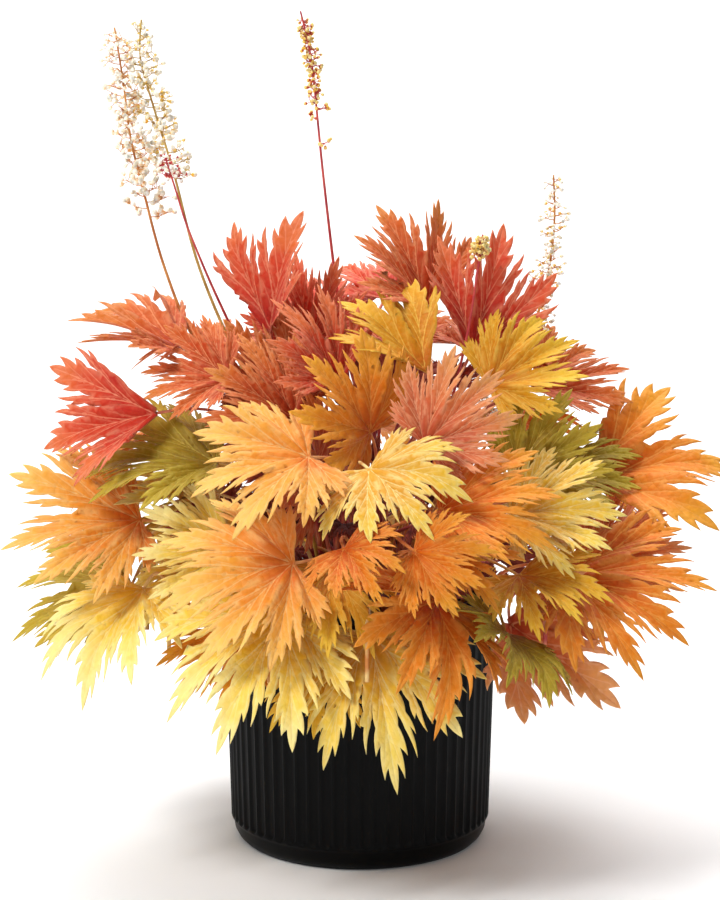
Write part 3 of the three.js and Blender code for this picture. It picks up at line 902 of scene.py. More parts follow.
    def _cut_up(self) -> None:
        """Cuts the blade into triangles along its veins and notes what the finishes need."""
        centres, flanks, edges = [], [], []
        count = len(self.outline)
        for line, strength in self.veins:
            line = line[within(line, self.outline)]
            if len(line) < 2:
                continue
            first = count + len(centres)
            edges += [(i, i + 1) for i in range(first, first + len(line) - 1)]
            centres += list(line)
            along = np.gradient(line, axis=0)
            across = np.stack((-along[:, 1], along[:, 0]), 1) / np.hypot(*along.T)[:, None]
            taper = np.linspace(1, self.VEIN_TIP, len(line))[:, None] * self.VEIN_WIDTH
            taper *= 0.5 + 0.5 * strength
            flanks += [*(line + across * taper), *(line - across * taper)]
        centres = np.array(centres)
        grid = self._grid(np.array(flanks), centres)
        points = np.concatenate((self.outline, centres, grid))
        ring = [(i, (i + 1) % count) for i in range(count)]
        flat = [Vector(p) for p in points.tolist()]
        found, _, faces, *_ = geometry.delaunay_2d_cdt(flat, ring + edges, [list(range(count))], 1, self.WELD)
        self.points = np.array([tuple(p) for p in found])
        self.faces = [tuple(face) for face in faces]
        self._measure()

    def _grid(self, flanks: np.ndarray, centres: np.ndarray) -> np.ndarray:
        """Points beside the veins and an even grid between them.

        Args:
            flanks: points at the edges of the veins.
            centres: points along the middle of the veins.

        Returns:
            All the inner points.
        """
        apart, _ = nearest(flanks, centres)
        margin, _ = nearest(flanks, self.outline)
        clear = (apart > self.NARROWEST * self.VEIN_WIDTH) & (margin > self.FLANK_CLEAR)
        flanks = flanks[within(flanks, self.outline) & clear]
        left, right, rows_apart = -0.7, 1.05, 0.87 * self.grid
        rows = []
        for row, y in enumerate(np.arange(-right, right, rows_apart)):
            for x in np.arange(left, right, self.grid):
                x += (row % 2) * self.grid / 2
                rows.append((x + self._stray(self.GRID_STRAY), y + self._stray(self.GRID_STRAY)))
        grid = np.array(rows)
        grid = grid[within(grid, self.outline)]
        margin, _ = nearest(grid, self.outline)
        apart, _ = nearest(grid, np.concatenate((centres, flanks)))
        return np.concatenate((flanks, grid[(margin > self.POINTS_APART) & (apart > self.POINTS_APART)]))

    def _measure(self) -> None:
        """Notes each point's angle, reach, place in its lobe, and distance from vein and margin."""
        x, y = self.points.T
        self.angle = np.degrees(np.arctan2(y, x))
        self.reach = np.hypot(x, y)
        self.off = np.ones(len(x))
        self.lobe = np.zeros(len(x))
        for number, lobe in enumerate(self.lobes):
            apart = self.angle - lobe.axis
            share = np.where(apart < 0, -apart / lobe.low, apart / lobe.high)
            mine = share <= 1
            self.off[mine] = share[mine]
            self.lobe[mine] = number
        self.side = np.sign(self.angle - np.array([self.lobes[int(n)].axis for n in self.lobe]))
        samples, strengths = [], []
        for line, strength in self.veins:
            for start, end in zip(line, line[1:]):
                samples += [start + (end - start) * t for t in self.FACETS]
                strengths += [strength] * len(self.FACETS)
        apart, number = nearest(self.points, np.array(samples))
        strength = np.array(strengths)[number]
        self.vein = np.clip(1 - apart / (self.VEIN_WIDTH * self.VEIN_FADE), 0, 1) * strength
        self.pillow = 1 - np.exp(-((apart / self.PILLOW) ** 2))
        ahead = np.roll(self.outline, -1, 0) - self.outline
        margin, _ = nearest(self.points, np.concatenate([self.outline + ahead * t for t in (0, 0.5)]))
        self.edge = np.clip(1 - margin / self.MARGIN, 0, 1)


# ---------------------------------------------------------------- leaves


@dataclass(frozen=True)
class Nudge:
    """Trial changes of one measure, which swing to both sides and grow with each try."""

    amount: float
    rate: float
    start: float

    def at(self, tries: np.ndarray, size: np.ndarray) -> np.ndarray:
        """Change of the measure at each try."""
        return self.amount * size * np.sin(self.rate * tries + self.start)


@dataclass
class Leaf:
    """One leaf: lengths in millimetres, turns in degrees.

    The heading and pitch point its middle lobe, and the turn rolls the blade about it. The spread narrows
    its fan, light is how far behind the pot's axis the point lies that it faces away from, and ripe takes
    the hub's colour further out. The phase is its number in the order of planting and varies its waves.
    The changes that let it clear its neighbours are found from its node.
    """

    name: str
    hub: Point
    length: float
    heading: float
    pitch: float
    tone: Tone
    fold: float
    curl: float
    turn: float = 0.0
    spread: float = 0.7
    light: float = 90.0
    ripe: float = 0.0
    phase: int = 0

    WEDGE_BELOW = 0.48
    FAN_BELOW = 0.62

    # the nudges that the leaf's node was moved by, and how close the right one comes
    MOST_NUDGES = 2500
    NUDGES_PER_SIZE = 150
    SWING = Nudge(5, 2.4, 0)
    STRETCH = Nudge(9, 3.1, 2)
    LIFT = Nudge(8, 1.7, 1)
    PITCH = Nudge(8, 0.9, 3)
    TURN = Nudge(8, 4.3, 4)
    BOW = Nudge(12, 5.3, 5)
    SHORTEN = 0.05
    FITS = 0.05
    BASE_HALF_WIDTH = 1.0
    HALF_THICKNESS = 0.4
    ROOT_AWAY = 16

    # the blade and its waves, as shares of its length; 138 degrees is half of the widest fan
    BLADE = 0.45
    WIDEST = 138.0
    RIPPLE = 0.25
    CUP = 0.13
    CUP_FADE = 0.06
    LOBE_WAVE = 0.075
    LOBE_TILT = 0.1
    RUFFLE = 0.022
    DROOP = 0.35
    DROOP_FROM = 0.6
    PILLOW = 0.006
    VEIN_SINK = 0.0015

    # the mound as an ellipsoid for painted shade: its middle and half sizes, the darkest painted shade deep
    # inside it, and the range of each leaf's own random darkening
    MOUND_MIDDLE = (0.0, 0.0, 190.0)
    MOUND_HALF = (165.0, 165.0, 150.0)
    DARKEST = 0.35
    SHADES = (0.88, 1.0)
    TINTS = (-0.15, 0.13)

    PETIOLE = 1.35
    PETIOLE_TAPER = 0.4
    PETIOLE_POINTS = 10

    @property
    def cut(self) -> Cut:
        """How many lobes it has: the narrow blades have fewer."""
        if self.spread < self.WEDGE_BELOW:
            return Cut.WEDGE
        return Cut.FAN if self.spread < self.FAN_BELOW else Cut.FULL

    def settle_in(self, node: np.ndarray) -> None:
        """Finds the small change of place that the leaf's node was given, and its root.

        Args:
            node: the node's corner points in millimetres.
        """
        tries = np.arange(self.MOST_NUDGES)
        size = np.sqrt(tries / self.NUDGES_PER_SIZE)
        swing = self.SWING.at(tries, size)
        x, y, z = self.hub
        stretch = 1 + self.STRETCH.at(tries, size) / math.hypot(x, y)
        c, s = np.cos(np.radians(swing)), np.sin(np.radians(swing))
        height = z + self.LIFT.at(tries, size)
        hubs = np.stack(((c * x - s * y) * stretch, (s * x + c * y) * stretch, height), 1)
        pitch = self.pitch + self.PITCH.at(tries, size)
        turn = self.turn + self.TURN.at(tries, size)
        along, across, face = self._directions(hubs, self.heading + swing, pitch, turn)
        miss = np.full(len(tries), np.inf)
        for a in (-self.BASE_HALF_WIDTH, self.BASE_HALF_WIDTH):
            for b in (-self.HALF_THICKNESS, self.HALF_THICKNESS):
                corner = hubs + a * across + b * face
                apart = np.linalg.norm(node[None] - corner[:, None], axis=2).min(1)
                miss = np.minimum(miss, apart)
        best = int(miss.argmin())
        if miss[best] > self.FITS:
            log.warning("%s: its node's blade base is %.2f mm from the rule's", self.name, miss[best])
        self.centre = hubs[best]
        self.along, self.across, self.face = along[best], across[best], face[best]
        self.bow = float(self.BOW.at(tries, size)[best])
        self.length *= float(1 - self.SHORTEN * size[best])
        foot = node[node[:, 2] < SOIL_TOP - HOLE_DEPTH + 0.3]
        self.root = foot[:, :2].mean(0)

    def placed(self, away: float) -> "Leaf":
        """Puts the leaf just where its numbers say.

        Args:
            away: distance of its hub from the pot's axis.

        Returns:
            The leaf itself.
        """
        hubs = np.array([self.hub], float)
        sets = [np.array([value], float) for value in (self.heading, self.pitch, self.turn)]
        along, across, face = self._directions(hubs, *sets)
        self.centre, self.along, self.across, self.face = hubs[0], along[0], across[0], face[0]
        self.bow = 0.0
        self.root = hubs[0][:2] * self.ROOT_AWAY / away
        return self

    def _directions(
        self, hubs: np.ndarray, heading: np.ndarray, pitch: np.ndarray, turn: np.ndarray
    ) -> tuple[np.ndarray, np.ndarray, np.ndarray]:
        """Directions of the blade for each possible place.

        Args:
            hubs: places of the hub.
            heading: headings of the middle lobe, in degrees.
            pitch: its pitches, in degrees.
            turn: rolls about it, in degrees.

        Returns:
            Unit directions along the middle lobe, across it and out of the face.
        """
        h, p, roll = np.radians(heading), np.radians(pitch), np.radians(turn)[:, None]
        along = np.stack((np.cos(h) * np.cos(p), np.sin(h) * np.cos(p), np.sin(p)), 1)
        outward = np.stack((hubs[:, 0], hubs[:, 1] - self.light, 0.7 * (hubs[:, 2] - 160) + 65), 1)
        outward /= np.linalg.norm(outward, axis=1)[:, None]
        face = outward - along * (outward * along).sum(1)[:, None]
        face /= np.linalg.norm(face, axis=1)[:, None]
        face = face * np.cos(roll) + np.cross(along, face) * np.sin(roll)
        return along, np.cross(face, along), face

    def blade(self, pattern: LeafPattern, points: np.ndarray) -> bpy.types.Object:
        """Turns the bent points of a flat pattern into this leaf's blade and gives it its thickness.

        Args:
            pattern: the flat blade.
            points: its points on the bent surface, in millimetres.

        Returns:
            The blade.
        """
        mesh = bpy.data.meshes.new(self.name)
        mesh.from_pydata((points * MM).tolist(), [], pattern.faces)
        luck = random.Random(self.name + str(self.phase))
        tint = np.full(len(points), luck.uniform(*self.TINTS) - self.ripe)
        # painted shade: the nearer a point lies to the mound's middle the darker it is painted, times the
        # leaf's own random darkening
        out = np.linalg.norm((points - self.MOUND_MIDDLE) / self.MOUND_HALF, axis=1)
        shade = np.clip(0.05 + 1.05 * out, self.DARKEST, 1) * luck.uniform(*self.SHADES)
        layers = {
            "reach": pattern.reach, "vein": pattern.vein, "edge": pattern.edge, "pillow": pattern.pillow,
            "ray": np.radians(pattern.angle), "tint": tint, "shade": shade,
        }
        for name, values in layers.items():
            layer = mesh.attributes.new(name, "FLOAT", "POINT")
            layer.data.foreach_set("value", values.astype(np.float32))
        piece = shown(self.name, mesh)
        apply_modifier(
            piece, "SOLIDIFY", thickness=self.BLADE * MM, offset=0.0, material_offset=1, material_offset_rim=0
        )
        piece.data.shade_smooth()
        return piece

    def bent(self, pattern: LeafPattern) -> np.ndarray:
        """Places the pattern's points on the curled, folded and waved surface.

        Args:
            pattern: the flat blade.

        Returns:
            The points in millimetres.
        """
        length, reach = self.length, pattern.reach
        ray = np.radians(pattern.angle * self.spread * self.WIDEST / pattern.half_width)
        rise = math.radians(self.fold) * np.abs(np.sin(ray)) ** 1.5
        curl = math.radians(self.curl) * (1 + self.RIPPLE * np.sin(3 * ray + self.phase))
        bend = rise - curl * reach
        out = length / curl * (np.sin(rise) - np.sin(bend))
        up = length / curl * (np.cos(bend) - np.cos(rise))
        off, lobe = pattern.off, pattern.lobe
        up += length * off * reach * (self.CUP - self.CUP_FADE * reach)
        up += length * self.LOBE_WAVE * reach**2 * np.sin(3.1 * lobe + 1.9 * self.phase)
        up += length * self.LOBE_TILT * reach * off * pattern.side * np.sin(2.3 * lobe + self.phase)
        up += length * self.RUFFLE * reach**2 * np.sin(13 * ray + 1.7 * self.phase)
        tip = np.clip(reach - self.DROOP_FROM, 0, 1)
        up -= length * self.DROOP * tip**1.5 * (1 + np.sin(5.3 * lobe + self.phase))
        points = (
            self.centre
            + self.along * (out * np.cos(ray))[:, None]
            + self.across * (out * np.sin(ray))[:, None]
            + self.face * up[:, None]
        )
        lift = length * (self.PILLOW * pattern.pillow * (1 - pattern.edge) - self.VEIN_SINK * pattern.vein)
        return points + self._normals(points, pattern.faces) * lift[:, None]

    @staticmethod
    def _normals(points: np.ndarray, faces: list[tuple[int, ...]]) -> np.ndarray:
        """Directions out of the surface at each point.

        Args:
            points: the surface's points.
            faces: its triangles.

        Returns:
            One unit direction for each point.
        """
        corners = np.array(faces)
        a, b, c = points[corners[:, 0]], points[corners[:, 1]], points[corners[:, 2]]
        cross = np.cross(b - a, c - a)
        normals = np.zeros_like(points)
        for i in range(3):
            np.add.at(normals, corners[:, i], cross)
        return normals / (np.linalg.norm(normals, axis=1)[:, None] + TINY)

    def petiole(self) -> bpy.types.Object:
        """Round petiole from its root in the soil to the hub of the blade.

        Returns:
            The petiole.
        """
        return tubes(self.name + "_petiole", [self.petiole_run()], 3)

    def petiole_run(self) -> Run:
        """Points of the petiole in millimetres, each with its radius.

        Returns:
            The points from the soil to the hub.
        """
        foot = Vector((*self.root, SOIL_TOP - HOLE_DEPTH))
        start = Vector((*self.root, SOIL_TOP + 1))
        hub = Vector(self.centre)
        reach = (hub - start).length
        rise = max(48, 0.55 * (hub.z - SOIL_TOP) + 18)
        first = start + Vector((self.bow, self.bow, rise))
        second = hub - Vector(self.along) * 0.33 * reach - Vector(self.face) * 0.08 * reach
        second.z += 0.05 * reach + max(0.0, (200 - hub.z) / 2)
        run = [(foot, self.PETIOLE)]
        for i in range(self.PETIOLE_POINTS):
            t = i / (self.PETIOLE_POINTS - 1)
            point = (
                start * (1 - t) ** 3
                + first * 3 * t * (1 - t) ** 2
                + second * 3 * t * t * (1 - t)
                + hub * t**3
            )
            run.append((point, self.PETIOLE - self.PETIOLE_TAPER * t))
        return run


# name, hub, blade length, heading and pitch of the middle lobe, tone, fold, curl, then what is special;
# two leaves of one name grow from one shoot
PLANTED = (
    Leaf("leaf_01", (-30, -125, 268), 76, -155, 0, Tone.APRICOT, 15, 35, turn=20.0, spread=0.85),
    Leaf("leaf_02", (-135, -60, 218), 90, -155, 5, Tone.APRICOT, 15, 30),
    Leaf("leaf_03", (125, -88, 190), 94, -38, -6, Tone.ORANGE, 15, 40),
    Leaf("leaf_04", (-44, -125, 176), 98, -115, -25, Tone.YELLOW, 10, 40),
    Leaf("leaf_05", (6, -125, 162), 96, -80, -35, Tone.YELLOW, 20, 35),
    Leaf("leaf_06", (-39, -145, 209), 84, -155, -3, Tone.APRICOT, 10, 40, turn=15.0, spread=0.8, ripe=0.12),
    Leaf("leaf_07", (44, -135, 184), 82, -100, -15, Tone.ORANGE, 15, 40),
    Leaf("leaf_22", (-9, -165, 222), 50, -75, -5, Tone.ORANGE, 20, 45),
    Leaf("leaf_08", (145, -20, 236), 92, -5, 18, Tone.ORANGE, 18, 22, turn=-15.0, spread=0.44),
    Leaf("leaf_35", (-18, -108, 150), 64, -100, -40, Tone.GOLD, 25, 30),
    Leaf("leaf_09", (-125, -60, 284), 74, 180, -12, Tone.RED, 45, 15, turn=-20.0, spread=0.38),
    Leaf("leaf_10", (-56, -10, 330), 76, -60, 75, Tone.RED, 24, 10, spread=0.42),
    Leaf("leaf_11", (42, -15, 346), 72, 170, 70, Tone.RUST, 20, 20, spread=0.55),
    Leaf("leaf_12", (70, -20, 318), 80, 0, 75, Tone.RED, 25, 10, spread=0.36),
    Leaf("leaf_13", (-109, -20, 318), 78, 180, 25, Tone.RUST, 15, 20, light=10.0, spread=0.55),
    Leaf("leaf_14", (38, -110, 273), 66, -15, 48, Tone.SALMON, 15, 30),
    Leaf("leaf_15", (47, -130, 237), 76, -10, 20, Tone.ORANGE, 20, 40, turn=-25.0),
    Leaf("leaf_16", (-134, -80, 180), 86, -125, -20, Tone.YELLOW, 15, 35),
    Leaf("leaf_17", (0, -130, 258), 70, -65, -15, Tone.YELLOW, 15, 35, spread=0.8, ripe=0.4),
    Leaf("leaf_18", (-6, -128, 206), 68, -85, -25, Tone.GOLD, 20, 35),
    Leaf("leaf_19", (6, -80, 275), 70, -130, 50, Tone.ORANGE, 20, 30, spread=0.85),
    Leaf("leaf_20", (34, -112, 205), 68, -60, -20, Tone.ORANGE, 20, 30),
    Leaf("leaf_21", (40, -60, 312), 70, 165, 48, Tone.GOLD, 35, 20, spread=0.38),
    Leaf("leaf_23", (-9, -60, 311), 66, -150, 65, Tone.RED, 15, 20, spread=0.5),
    Leaf("leaf_24", (-39, -70, 282), 66, -165, 35, Tone.RUST, 20, 25, spread=0.55),
    Leaf("leaf_25", (79, -50, 300), 66, -5, 35, Tone.GOLD, 15, 25),
    Leaf("leaf_26", (94, -70, 248), 70, -10, 35, Tone.OLIVE, 15, 25),
    Leaf("leaf_27", (86, -100, 226), 78, -10, 2, Tone.YELLOW, 10, 30, turn=-30.0, ripe=0.3),
    Leaf("leaf_28", (-95, -45, 232), 76, 175, 8, Tone.YELLOW, 15, 25, turn=30.0),
    Leaf("leaf_29", (88, -80, 157), 84, -40, -20, Tone.SALMON, 50, 25, turn=20.0, spread=0.45),
    Leaf("leaf_30", (88, -100, 168), 76, -75, -15, Tone.OLIVE, 15, 30),
    Leaf("leaf_31", (-87, -70, 255), 86, 178, 10, Tone.OLIVE, 15, 25, turn=30.0),
    Leaf("leaf_32", (32, -150, 208), 56, -40, 0, Tone.ORANGE, 20, 35),
    Leaf("leaf_33", (-99, -85, 193), 70, -165, -8, Tone.YELLOW, 15, 25),
    Leaf("leaf_34", (-146, -10, 165), 86, -160, -5, Tone.OLIVE, 15, 30),
    Leaf("leaf_36", (-65, -90, 160), 66, -130, -25, Tone.ORANGE, 20, 30),
    Leaf("leaf_37", (144, -30, 188), 66, -15, 15, Tone.SALMON, 30, 20),
    Leaf("leaf_38", (110, 5, 290), 66, 10, 15, Tone.RUST, 20, 20, spread=0.5),
    Leaf("leaf_39", (122, -20, 235), 70, -20, 0, Tone.OLIVE, 15, 25),
    Leaf("leaf_40", (-50, -30, 275), 72, -160, 60, Tone.RUST, 20, 20, spread=0.9),
    Leaf("leaf_41", (-25, -70, 235), 74, -100, 40, Tone.RUST, 20, 30, spread=0.9),
    Leaf("leaf_42", (-8, 0, 334), 72, -125, 62, Tone.RED, 20, 20),
    Leaf("leaf_43", (83, -110, 200), 64, -60, -5, Tone.GOLD, 20, 30),
    Leaf("leaf_41", (-92, -62, 172), 68, -150, -20, Tone.YELLOW, 20, 30),
    Leaf("leaf_40", (-88, -50, 300), 62, 170, 15, Tone.RUST, 20, 20),
)


@dataclass(frozen=True)
class Ring:
    """A ring of leaves round the back of the mound."""

    radius: float
    height: float
    pitch: float
    length: float
    start: float
    step: float
    count: int
    tone: Tone

    def leaf(self, number: int, total: int) -> Leaf:
        """One leaf of the ring, a little off the even places.

        Args:
            number: its number in the ring.
            total: its number among all the leaves at the back.

        Returns:
            The leaf, with the name of its shoot.
        """
        heading = self.start + number * self.step + 7 * math.sin(5.1 * total)
        x = self.radius * math.cos(math.radians(heading))
        y = self.radius * math.sin(math.radians(heading))
        hub = (x, y, self.height + 12 * math.cos(3.7 * total))
        pitch = self.pitch + 8 * math.sin(2.3 * total)
        name = f"leaf_{BACK_SHOOTS_FROM + total // 2}"
        shape = {"fold": 12, "curl": 28, "spread": 0.78, "light": 0.0}
        return Leaf(name, hub, self.length, heading, pitch, self.tone, **shape)


BACK_SHOOTS_FROM = 44
# radius, height, pitch, blade length, first heading, step between two, count and tone
BACK_RINGS = (
    Ring(28, 334, 35, 72, 55, 75, 2, Tone.RED),
    Ring(76, 308, 18, 80, 28, 42, 4, Tone.RUST),
    Ring(114, 256, -14, 90, 12, 39, 5, Tone.ORANGE),
    Ring(118, 198, -38, 94, 0, 36, 5, Tone.GOLD),
)


class Mound:
    """The leaves that stand for nodes: one piece for each shoot."""

    VERSIONS = {Cut.WEDGE: 2, Cut.FAN: 2, Cut.FULL: 4}
    INSIDE = 0.5

    def __init__(self, nodes: dict[str, bpy.types.Object], box: tuple[Vector, Vector]) -> None:
        """Lists the leaves and brings each to its node's place.

        Args:
            nodes: the CAD nodes by name.
            box: lowest and highest corner that the leaves stay within, in metres.
        """
        self.patterns = {
            cut: [LeafPattern(cut, seed) for seed in range(count)] for cut, count in self.VERSIONS.items()
        }
        self.low, self.high = (np.array(corner) / MM for corner in box)
        self.leaves = self._leaves()
        for leaf in self.leaves:
            leaf.settle_in(coordinates(nodes[leaf.name].data) / MM)
        self.shapes = [self._shape(leaf) for leaf in self.leaves]

    def _leaves(self) -> list[Leaf]:
        """Lists the leaves in the order of planting, and numbers them.

        Returns:
            The leaves.
        """
        places = [(ring, number) for ring in BACK_RINGS for number in range(ring.count)]
        back = [ring.leaf(number, total) for total, (ring, number) in enumerate(places)]
        return [replace(leaf, phase=number) for number, leaf in enumerate([*PLANTED, *back])]

    def _pattern(self, leaf: Leaf) -> LeafPattern:
        """The flat blade that a leaf is bent from."""
        return self.patterns[leaf.cut][leaf.phase % self.VERSIONS[leaf.cut]]

    def _shape(self, leaf: Leaf) -> np.ndarray:
        """Points of a leaf's bent blade; those that reach past the box are pushed back to its sides."""
        return np.clip(leaf.bent(self._pattern(leaf)), self.low + self.INSIDE, self.high - self.INSIDE)

    def build(self) -> None:
        """Builds, colours and ties every shoot."""
        skins = {tone: finish.skins(tone.value) for tone, finish in FINISHES.items()}
        shoots: dict[str, list[bpy.types.Object]] = {}
        slots: dict[str, str] = {}
        for leaf, points in zip(self.leaves, self.shapes):
            parts = leaf_parts(leaf, self._pattern(leaf), points, skins[leaf.tone])
            shoots.setdefault(leaf.name, []).extend(parts)
            slots[leaf.name] = leaf.tone.value
        for name, parts in shoots.items():
            dress(joined(parts, name + "_shoot"), slots[name], name)

    def filled(self) -> np.ndarray:
        """Points that the leaves and their petioles take up, in millimetres."""
        runs = [on_run(leaf.petiole_run()) for leaf in self.leaves]
        return np.concatenate([*self.shapes, *runs])


def leaf_parts(leaf: Leaf, pattern: LeafPattern, points: np.ndarray, skins: Skins) -> list[bpy.types.Object]:
    """Builds and colours one leaf.

    Args:
        leaf: the leaf.
        pattern: the flat blade that it is bent from.
        points: the bent blade's points in millimetres.
        skins: its face, underside and petiole materials.

    Returns:
        The blade and the petiole.
    """
    face, underside, stem = skins
    blade, petiole = leaf.blade(pattern, points), leaf.petiole()
    coat(blade, face, underside)
    coat(petiole, stem)
    return [blade, petiole]


def on_run(run: Run) -> np.ndarray:
    """Points along a stem, as far apart as a cell of the room is wide.

    Args:
        run: the stem's points in millimetres, each with its radius.

    Returns:
        The points in millimetres.
    """
    knots = np.array([tuple(point) for point, _ in run])
    lengths = np.concatenate(([0], np.cumsum(np.linalg.norm(np.diff(knots, axis=0), axis=1))))
    at = np.arange(0, lengths[-1], Room.CELL)
    return np.stack([np.interp(at, lengths, knots[:, axis]) for axis in range(3)], 1)


class Room:
    """The space round the plant in small cells, each free or taken; sizes in millimetres."""

    CELL = 2.0
    HALF = 130.0
    TOP = 400.0

    def __init__(self) -> None:
        """Starts with every cell free."""
        side = int(2 * self.HALF / self.CELL)
        self.cells = np.zeros((side, side, int(self.TOP / self.CELL)), bool)

    def _numbers(self, points: np.ndarray) -> np.ndarray:
        """Cells of the points that lie inside the space."""
        numbers = ((points + (self.HALF, self.HALF, 0)) / self.CELL).astype(int)
        return numbers[((numbers >= 1) & (numbers < np.array(self.cells.shape) - 1)).all(1)]

    def take(self, points: np.ndarray) -> None:
        """Takes the cells of some points and the cells beside them."""
        numbers = self._numbers(points)
        for step in np.ndindex(3, 3, 3):
            self.cells[tuple((numbers + step - 1).T)] = True

    def is_free(self, points: np.ndarray) -> bool:
        """Whether all the cells of some points are free."""
        return not self.cells[tuple(self._numbers(points).T)].any()


@dataclass
class YoungLeaves:
    """Small leaves inside the mound; each grows only where there is room for it. Their dark maroon colour is
    painted shade for the shadowed inside of the mound.

    The ranges of their places and shapes are in millimetres and degrees.
    """

    count: int = 60
    tries: int = 9000
    away: tuple[float, float] = (20, 105)
    height: tuple[float, float] = (172, 300)
    length: tuple[float, float] = (20, 46)
    pitch: tuple[float, float] = (0, 75)
    fold: tuple[float, float] = (12, 30)
    curl: tuple[float, float] = (15, 40)
    turn: tuple[float, float] = (-30, 30)
    untested: float = 35.0
    # dark maroon colours: painted shade for the shadowed inside of the mound, on leaves that do grow there
    finish: LeafFinish = LeafFinish("4c1016", "6c1e18", "8c3420", "a8542a", "b05848", "7a2c20", "8c2430")

    def build(self, taken: np.ndarray) -> None:
        """Tries places one after the other and builds a leaf at each that is free.

        Args:
            taken: points that are already taken up, in millimetres.
        """
        pattern = LeafPattern(Cut.FAN, 5, plain=True)
        # the materials of the young leaves, whose dark colour is painted shade
        skins = self.finish.skins("young_leaf")
        room = Room()
        room.take(taken)
        luck = random.Random(23)
        parts: list[bpy.types.Object] = []
        for number in range(self.tries):
            leaf = self._candidate(luck, number)
            blade = leaf.bent(pattern)
            stem = on_run(leaf.petiole_run())
            # just above the soil the petioles stand so close that few would pass
            around = np.concatenate((blade, stem[stem[:, 2] > SOIL_TOP + self.untested]))
            if room.is_free(around):
                room.take(around)
                parts += leaf_parts(leaf, pattern, blade, skins)
            if len(parts) == 2 * self.count:
                break
        grown = len(parts) // 2
        piece = joined(parts, "young_leaves")
        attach(piece, "root")
        log.info("%s: %d leaves, %d faces", piece.name, grown, len(piece.data.polygons))

    def _candidate(self, luck: random.Random, number: int) -> Leaf:
        """A leaf at a random place inside the mound.

        Args:
            luck: random numbers.
            number: number of the try.

        Returns:
            The leaf.
        """
        heading = luck.uniform(0, 360)
        away, height = luck.uniform(*self.away), luck.uniform(*self.height)
        x, y = away * math.cos(math.radians(heading)), away * math.sin(math.radians(heading))
        leaf = Leaf(
            name=f"young_{number}",
            hub=(x, y, height),
            length=luck.uniform(*self.length),
            heading=heading,
            pitch=luck.uniform(*self.pitch),
            tone=Tone.RED,
            fold=luck.uniform(*self.fold),
            curl=luck.uniform(*self.curl),
            turn=luck.uniform(*self.turn),
            spread=0.6,
            light=140.0,
            phase=number,
        )
        return leaf.placed(away)


# ---------------------------------------------------------------- flower stalks


@dataclass(frozen=True)
class Bell:
    """A small flower: a round calyx that opens into short petals. Lengths are in millimetres."""

    length: float = 3.2
    radius: float = 1.4
    sides: int = 10
    rings: int = 5
    petals: int = 5
    base_width: float = 0.75
    flare: float = 0.35
    notches: float = 0.16
    hollow: float = 0.9
    calyx_share: float = 0.4

    def model(self, petal: bpy.types.Material, calyx: bpy.types.Material) -> bpy.types.Object:
        """Models the bell once, its base at the origin and its mouth along +Z.

        Args:
            petal: the petals' material.
            calyx: the calyx's material.

        Returns:
            The bell.
        """
        sphere = {"segments": self.sides, "ring_count": self.rings, "radius": self.radius * MM}
        piece = added(bpy.ops.mesh.primitive_uv_sphere_add, **sphere)
        mesh = piece.data
        points = coordinates(mesh) / (self.radius * MM)
        height = (points[:, 2] + 1) / 2
        width = self.base_width + self.flare * height
        around = np.arctan2(points[:, 1], points[:, 0])
        lobes = 1 + self.notches * height**2 * np.cos(self.petals * around)
        points[:, :2] *= (width * lobes)[:, None]
        points[:, 2] = height * self.length / self.radius
        points[height > 0.97, 2] -= self.hollow
        write_coordinates(mesh, points * self.radius * MM)
        coat(piece, calyx, petal)
        for face in mesh.polygons:
            face.material_index = int(face.center.z > self.calyx_share * self.length * MM)
        mesh.shade_smooth()
        return piece


